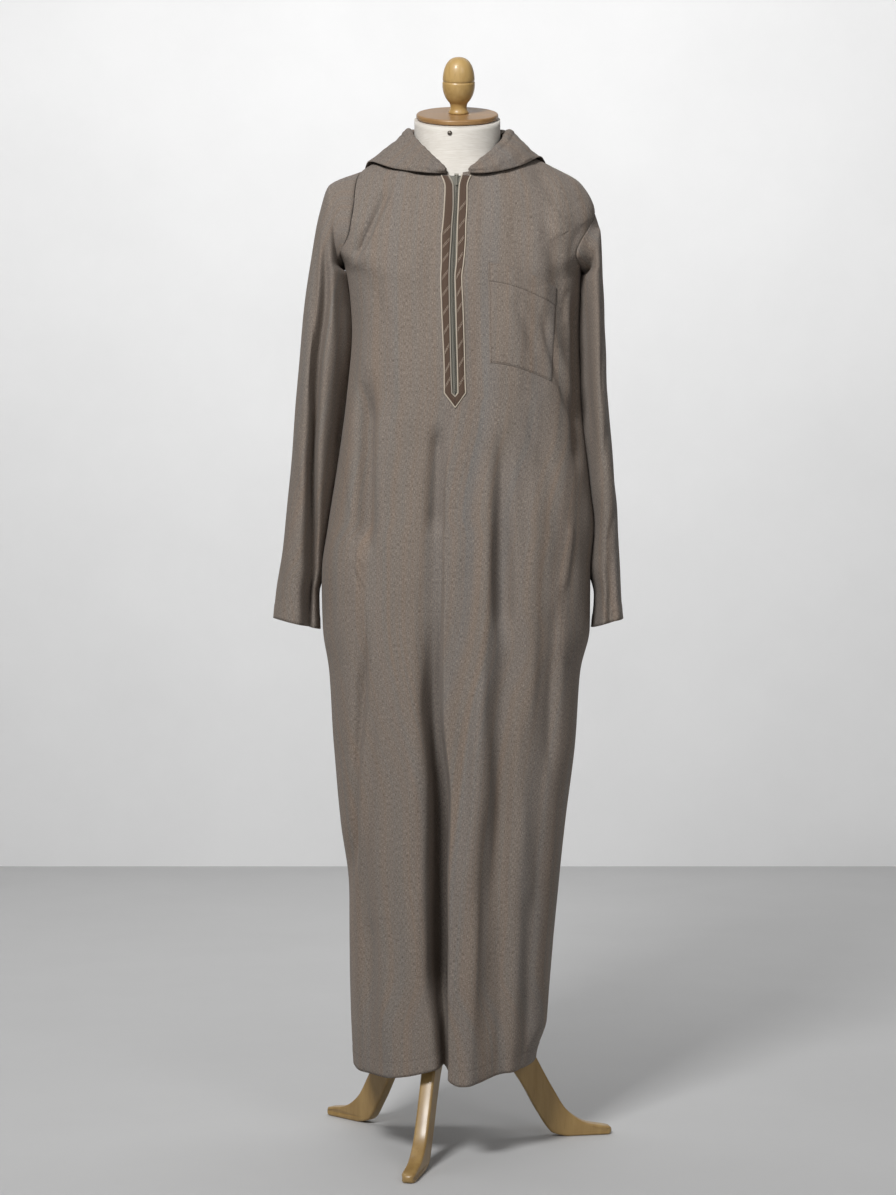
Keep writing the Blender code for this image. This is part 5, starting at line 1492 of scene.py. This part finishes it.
def pocket_relief(down, share):
    edge = min(share * 0.100, (1 - share) * 0.100, (1 - down) * 0.150)
    sewn = -0.0003 * (1 - min(edge / 0.006, 1.0) ** 2)
    hem = -0.0007 * math.exp(-(((down - POCKET_HEM) / 0.010) ** 2))
    top = 0.0005 * (1 - float(smoothstep((down - 0.175) / 0.02)))
    return top + sewn + hem + 0.0010 * math.exp(-((down - 0.05) / 0.06) ** 2) * math.sin(math.pi * share)


make_patch(
    "robe_chest_pocket", pocket_place, POCKET_LIFT, 150, 70, pocket_relief, "chest_pocket", POCKET_WALL
)
for side in ("left", "right"):
    make_patch(
        "robe_pocket_bag_" + side, lambda down, share, side=side: patch_place(POCKET_BAGS[side], down, share),
        -CLOTH - 0.0016, 40, 12, lambda down, share: 0.0, "pocket_bag_" + side,
    )

# %% Stitched lines
THREAD = 0.00055


def stitched(name, lines, length=0.0024, thick=THREAD):
    sizes = {"Pitch": 0.0032, "Length": length, "Thickness": thick}
    along_path(name, lines, "stitches", "wool", Material=THREAD_LOOK, **sizes)


THREAD_PROUD = THREAD * 0.35
ON_CLOTH = CLOTH / 2 + THREAD_PROUD
POCKET_LINES = [
    [(down, 0.022) for down in np.linspace(0.0, 0.986, 50)],
    [(down, 0.978) for down in np.linspace(0.0, 0.986, 50)],
    [(0.986, share) for share in np.linspace(0.022, 0.978, 40)],
    [(POCKET_HEM, share) for share in np.linspace(0.01, 0.99, 40)],
]


def on_pocket(down, share):
    lift = POCKET_LIFT + pocket_relief(down, share) + POCKET_WALL / 2 + THREAD_PROUD
    return on_front(*pocket_place(down, share), lift)


pocket_lines = [[on_pocket(*at) for at in line] for line in POCKET_LINES]
stitched("robe_stitches_pocket", pocket_lines, length=0.0027, thick=0.0008)
BAG_LINES = [
    [(-0.168, 1.069), (-0.156, 1.030), (-0.150, 0.983), (-0.139, 0.945), (-0.139, 0.891), (-0.132, 0.856),
     (-0.122, 0.818), (-0.123, 0.746), (-0.142, 0.711)],
    [(0.195, 0.974), (0.182, 0.922), (0.179, 0.885), (0.1725, 0.827), (0.1695, 0.764), (0.1967, 0.733)],
]
stitched("robe_stitches_bags", [front_line(line, ON_CLOTH) for line in BAG_LINES])


def row_at_drop(points, col, drop):
    """The row at which a column is a given length from its last point."""
    steps = np.linalg.norm(np.diff(points[::-1, col], axis=0), axis=-1)
    from_end = np.concatenate([[0.0], np.cumsum(steps)])
    return len(points) - 1 - float(np.interp(drop, from_end, np.arange(len(points))))


def hem_stitches(points, closed=False):
    """The line along which the turned-up hem of a panel or sleeve is sewn."""
    out = grid_normals(points, closed=closed)
    line = []
    for col in range(points.shape[1]):
        row = row_at_drop(points, col, PRESSED_HEM)
        low = min(int(row), len(points) - 2)
        down = (points[low + 1, col] - points[low, col]) * (row - low)
        line.append(points[low, col] + down + out[low, col] * ON_CLOTH)
    return line + line[:1] if closed else line


hem_lines = [hem_stitches(front_points), hem_stitches(back_points)]
hem_lines += [hem_stitches(points, closed=True) for points in sleeves.values()]
stitched("robe_stitches_hems", hem_lines)

# %% [markdown]
# ## The dress form
# The form is a padded body covered in calico, cut off at the hips and at a slant across
# the neck, where the turned wooden cap sits.

# %% Form
Ring = namedtuple("Ring", "z x_left x_right y_front y_back square")
TORSO = [
    Ring(1.5910, -0.0525, 0.0815, -0.0670, 0.0670, 2.0),
    Ring(1.5400, -0.0525, 0.0815, -0.0670, 0.0670, 2.0),
    Ring(1.5180, -0.0600, 0.0890, -0.0680, 0.0690, 2.0),
    Ring(1.5000, -0.0880, 0.1170, -0.0710, 0.0740, 2.1),
    Ring(1.4800, -0.1300, 0.1580, -0.0780, 0.0810, 2.3),
    Ring(1.4500, -0.1570, 0.1850, -0.0890, 0.0890, 2.5),
    Ring(1.4100, -0.1620, 0.1900, -0.0970, 0.0950, 2.5),
    Ring(1.3600, -0.1460, 0.1740, -0.1040, 0.0980, 2.4),
    Ring(1.3000, -0.1330, 0.1600, -0.1090, 0.0990, 2.4),
    Ring(1.2200, -0.1290, 0.1550, -0.1090, 0.0950, 2.4),
    Ring(1.1000, -0.1260, 0.1500, -0.1010, 0.0850, 2.3),
    Ring(0.9800, -0.1340, 0.1500, -0.1000, 0.0900, 2.3),
    Ring(0.8800, -0.1430, 0.1550, -0.0980, 0.0980, 2.3),
    Ring(0.8300, -0.1420, 0.1530, -0.0940, 0.0960, 2.3),
]
CAP_TILT = math.radians(22)
NECK_LEVEL_Z = 1.5180
CAP_R = 0.064
CAP_THICK = 0.0085
CAP_Z = 1.5965


def keep(name, bm_or_mesh, look, slot, node):
    """Links a finished mesh as a piece that stands for a node of the solid model."""
    mesh = bm_or_mesh
    if isinstance(bm_or_mesh, bmesh.types.BMesh):
        mesh = bpy.data.meshes.new(name)
        bm_or_mesh.to_mesh(mesh)
        bm_or_mesh.free()
    mesh.materials.clear()
    mesh.materials.append(look)
    obj = bpy.data.objects.new(name, mesh)
    bpy.context.scene.collection.objects.link(obj)
    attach(obj, "root")
    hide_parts(node)
    print(name, len(mesh.polygons), "faces")
    return obj


def make_form(corners=120, per_ring=8):
    levels = np.linspace(0, len(TORSO) - 1, per_ring * (len(TORSO) - 1) + 1)
    keys = range(len(TORSO))
    at = {field: curve_through(keys, column(TORSO, field), levels)[:, None] for field in Ring._fields}
    turn = np.arange(corners) * TURN / corners
    along_x = signed_power(np.cos(turn)[None], 2 / at["square"])
    along_y = signed_power(np.sin(turn)[None], 2 / at["square"])
    x = (at["x_left"] + at["x_right"]) / 2 + (at["x_right"] - at["x_left"]) / 2 * along_x
    y = np.where(along_y < 0, -at["y_front"], at["y_back"]) * along_y
    slant = smoothstep((at["z"] - NECK_LEVEL_Z) / (TORSO[0].z - NECK_LEVEL_Z))
    z = at["z"] + y * math.tan(CAP_TILT) * slant
    points = np.stack([x, y + STAND_Y, z], axis=-1)
    faces, _, _ = quads(len(levels), corners, closed=True)
    mesh = bpy.data.meshes.new("form_body")
    top = list(range(corners))
    low = list(range((len(levels) - 1) * corners, len(levels) * corners))
    mesh.from_pydata(points.reshape(-1, 3).tolist(), [], faces.tolist() + [top, low[::-1]])
    mesh.shade_smooth()
    for face in mesh.polygons[-2:]:
        face.use_smooth = False
    return keep("form_body", mesh, CALICO_LOOK, "calico", "torso_form")


make_form()


# %% Turned pieces
def turned(name, profile, look, slot, node, matrix, steps=96):
    """A piece turned on a lathe: its profile spun about its own axis, then put in place."""
    bm = bmesh.new()
    ring = [bm.verts.new((radius, 0.0, height)) for radius, height in profile]
    edges = [bm.edges.new(pair) for pair in zip(ring, ring[1:])]
    about_z = {"cent": (0, 0, 0), "axis": (0, 0, 1), "angle": TURN}
    bmesh.ops.spin(bm, geom=ring + edges, steps=steps, use_merge=True, **about_z)
    bmesh.ops.remove_doubles(bm, verts=bm.verts, dist=1e-6)
    bmesh.ops.recalc_face_normals(bm, faces=bm.faces)
    bmesh.ops.transform(bm, matrix=matrix, verts=bm.verts)
    for face in bm.faces:
        face.smooth = True
    return keep(name, bm, look, slot, node)


def arc(centre_r, centre_z, radius_r, radius_z, start, end, steps, square=2.0):
    angles = np.radians(np.linspace(start, end, steps + 1))
    across = radius_r * signed_power(np.cos(angles).round(9), 2 / square)
    up = radius_z * signed_power(np.sin(angles).round(9), 2 / square)
    return [(centre_r + float(r), centre_z + float(z)) for r, z in zip(across, up)]


KNOB_FOOT_Z = 1.6065
rim = CAP_THICK / 2
lean = Matrix.Rotation(CAP_TILT, 4, "X")
cap_place = Matrix.Translation((NECK_X, STAND_Y, CAP_Z)) @ lean
cap_profile = [(0.0, rim), (0.030, rim), (CAP_R - 0.0045, rim - 0.0001)]
cap_profile += arc(CAP_R - 0.0032, rim - 0.0032, 0.0032, 0.0032, 80, 0, 8)
cap_profile += arc(CAP_R - 0.0032, -rim + 0.0032, 0.0032, 0.0032, 0, -90, 8) + [(0.0, -rim)]
turned("form_neck_cap", cap_profile, CAP_LOOK, "beech", "neck_cap", cap_place)
knob_profile = arc(0.0, 1.6515, 0.0250, 0.0405, 90, 7, 30, 2.45)
knob_profile += [(0.0246, 1.6566), (0.0239, 1.6560), (0.0241, 1.6552), (0.0251, 1.6543)]
knob_profile += arc(0.0, 1.6500, 0.0252, 0.0330, 4, -55, 18)
knob_profile += [(0.0133, 1.6200), (0.0128, 1.6170), (0.0131, 1.6140), (0.0142, 1.6115)]
knob_profile += [(0.0154, 1.6095), (0.0157, 1.6078), (0.0154, KNOB_FOOT_Z), (0.0, KNOB_FOOT_Z)]
knob_profile = [(radius, height - KNOB_FOOT_Z) for radius, height in knob_profile]
on_cap = Matrix.Translation((0, 0, rim + 0.0003))
knob_place = Matrix.Translation((NECK_X + 0.002, STAND_Y, CAP_Z)) @ lean @ on_cap
turned("form_knob", knob_profile, KNOB_LOOK, "beech", "finial", knob_place)

HUB_TOP_Z = 0.262
POLE_R = 0.0135
pole_top, pole_low = TORSO[-1].z - 0.0003, HUB_TOP_Z + 0.0003
pole_profile = [(0.0, pole_top), (POLE_R, pole_top), (POLE_R, pole_low), (0.0, pole_low)]
stand_place = Matrix.Translation((0.0, STAND_Y, 0.0))
turned("form_pole", pole_profile, LEG_LOOK, "beech", "pole", stand_place, 48)
hub_profile = [(0.0, HUB_TOP_Z), (0.0200, HUB_TOP_Z)]
hub_profile += arc(0.0200, HUB_TOP_Z - 0.010, 0.0090, 0.0100, 80, 0, 6)
hub_profile += [(0.0290, 0.150)] + arc(0.0200, 0.146, 0.0090, 0.0160, 0, -70, 7)
hub_profile += [(0.0140, 0.1240), (0.0, 0.1240)]
turned("form_hub", hub_profile, LEG_LOOK, "beech", "hub", stand_place, 64)
refinish("neck_pin", STEEL_LOOK)

# %% Legs
LEG_THICK = 0.021
LEG_TOE = 0.262
LEG_ROOT = 0.0296
LEG_HEADINGS = {"left": 138, "right": 10, "front": 257}
LEG_UPPER = [(LEG_ROOT, 0.2340), (0.0700, 0.2240), (0.1080, 0.1860), (0.1370, 0.1300), (0.1640, 0.0800),
             (0.1900, 0.0400), (0.2200, 0.0205), (0.2500, 0.0145)]
LEG_TOE_LINE = [(0.2540, 0.0138), (0.2575, 0.0128), (0.2602, 0.0106), (0.2615, 0.0084), (LEG_TOE, 0.0062),
                (0.2612, 0.0034), (0.2595, 0.0013), (0.2570, 0.0003), (0.2540, 0.0)]
TOE_ROUND = 0.0110         # radius of the toe, seen from above
LEG_LOWER = [(0.1880, 0.0), (0.1660, 0.0060), (0.1400, 0.0420), (0.1140, 0.0880), (0.0800, 0.1320),
             (LEG_ROOT, 0.1560)]


def smooth_line(points, per_span):
    keys = np.arange(len(points))
    at = np.linspace(0, len(points) - 1, (len(points) - 1) * per_span + 1)
    values = np.array(points)
    return list(zip(curve_through(keys, values[:, 0], at), curve_through(keys, values[:, 1], at)))


def make_leg(name, heading):
    """An S-curved leg sawn from a board, with its edges rounded over."""
    outline = smooth_line(LEG_UPPER, 8) + LEG_TOE_LINE[:-1]
    outline += smooth_line([LEG_TOE_LINE[-1], LEG_LOWER[0]], 8) + smooth_line(LEG_LOWER, 8)[1:]
    bm = bmesh.new()
    half = LEG_THICK / 2
    rims = [[bm.verts.new((float(r), side * half, float(z))) for r, z in outline] for side in (-1, 1)]
    bm.faces.new(rims[0])
    bm.faces.new(rims[1][::-1])
    count = len(outline)
    for i in range(count):
        j = (i + 1) % count
        bm.faces.new((rims[0][i], rims[0][j], rims[1][j], rims[1][i]))
    bmesh.ops.recalc_face_normals(bm, faces=bm.faces)
    long_edges = [e for e in bm.edges if abs(e.verts[0].co.y - e.verts[1].co.y) < 1e-6]
    rounding = {"offset": 0.0034, "segments": 4, "profile": 0.5, "clamp_overlap": True}
    bmesh.ops.bevel(bm, geom=long_edges, affect="EDGES", **rounding)
    for vert in bm.verts:
        past = (vert.co.x - (LEG_TOE - TOE_ROUND)) / TOE_ROUND
        vert.co.y *= math.sqrt(max(1 - max(past, 0.0) ** 2, 0.04))
    turn = Matrix.Translation((0.0, STAND_Y, 0.0)) @ Matrix.Rotation(math.radians(heading), 4, "Z")
    bmesh.ops.transform(bm, matrix=turn, verts=bm.verts)
    for face in bm.faces:
        face.smooth = len(face.verts) < 5
    return keep("form_leg_" + name, bm, LEG_LOOK, "beech", "leg_" + name)


for name, heading in LEG_HEADINGS.items():
    make_leg(name, heading)

# %% [markdown]
# ## Floor and light
# A plain pale floor meets a plain pale wall. One large soft light stands in front, high
# and to the left, with a weaker one to the right. A long strip overhead lights the wall,
# and the world fills the shadows.

# %% Stage
def stage_plane(name, corners, tint, rough):
    look = Look(name)
    grain = look.noise(look.place(), 2.2, 6.0, 0.62)
    colour = look.mix(grain, tuple(v * 0.90 for v in tint), tint)
    look.shade(Base_Color=colour, Roughness=rough, Specular_IOR_Level=0.2)
    mesh = bpy.data.meshes.new(name)
    mesh.from_pydata(corners, [], [(0, 1, 2, 3)])
    mesh.materials.append(look.material)
    obj = bpy.data.objects.new(name, mesh)
    bpy.context.scene.collection.objects.link(obj)


WALL_Y = 3.50
REACH = 9.0
WALL_TOP = 8.0
floor = [(-REACH, -REACH, 0), (REACH, -REACH, 0), (REACH, WALL_Y, 0), (-REACH, WALL_Y, 0)]
wall = [(-REACH, WALL_Y, 0), (REACH, WALL_Y, 0), (REACH, WALL_Y, WALL_TOP), (-REACH, WALL_Y, WALL_TOP)]
stage_plane("floor", floor, (0.56, 0.56, 0.56), 0.7)
stage_plane("wall", wall, (0.90, 0.90, 0.90), 0.9)


def soft_light(name, place, target, size, power):
    data = bpy.data.lights.new(name, "AREA")
    data.shape = "RECTANGLE"
    data.size, data.size_y = size
    data.energy = power
    light = bpy.data.objects.new(name, data)
    light.location = place
    light.rotation_euler = (Vector(target) - Vector(place)).to_track_quat("-Z", "Y").to_euler()
    bpy.context.scene.collection.objects.link(light)


soft_light("key", (-1.00, -2.45, 2.9), (0.0, 0.0, 1.0), (0.7, 0.7), 101.0)
soft_light("fill", (1.5, -3.0, 2.3), (0.0, 0.0, 1.4), (1.0, 1.0), 16.0)
soft_light("wall_wash", (0.0, 1.0, 3.4), (0.0, WALL_Y, 1.5), (5.0, 0.6), 80.0)
world = bpy.data.worlds.new("studio")
world.use_nodes = True
world.node_tree.nodes["Background"].inputs["Color"].default_value = (1.0, 1.0, 1.0, 1.0)
world.node_tree.nodes["Background"].inputs["Strength"].default_value = 0.10
bpy.context.scene.world = world
bpy.context.scene.view_settings.view_transform = "Standard"
print("stage set")
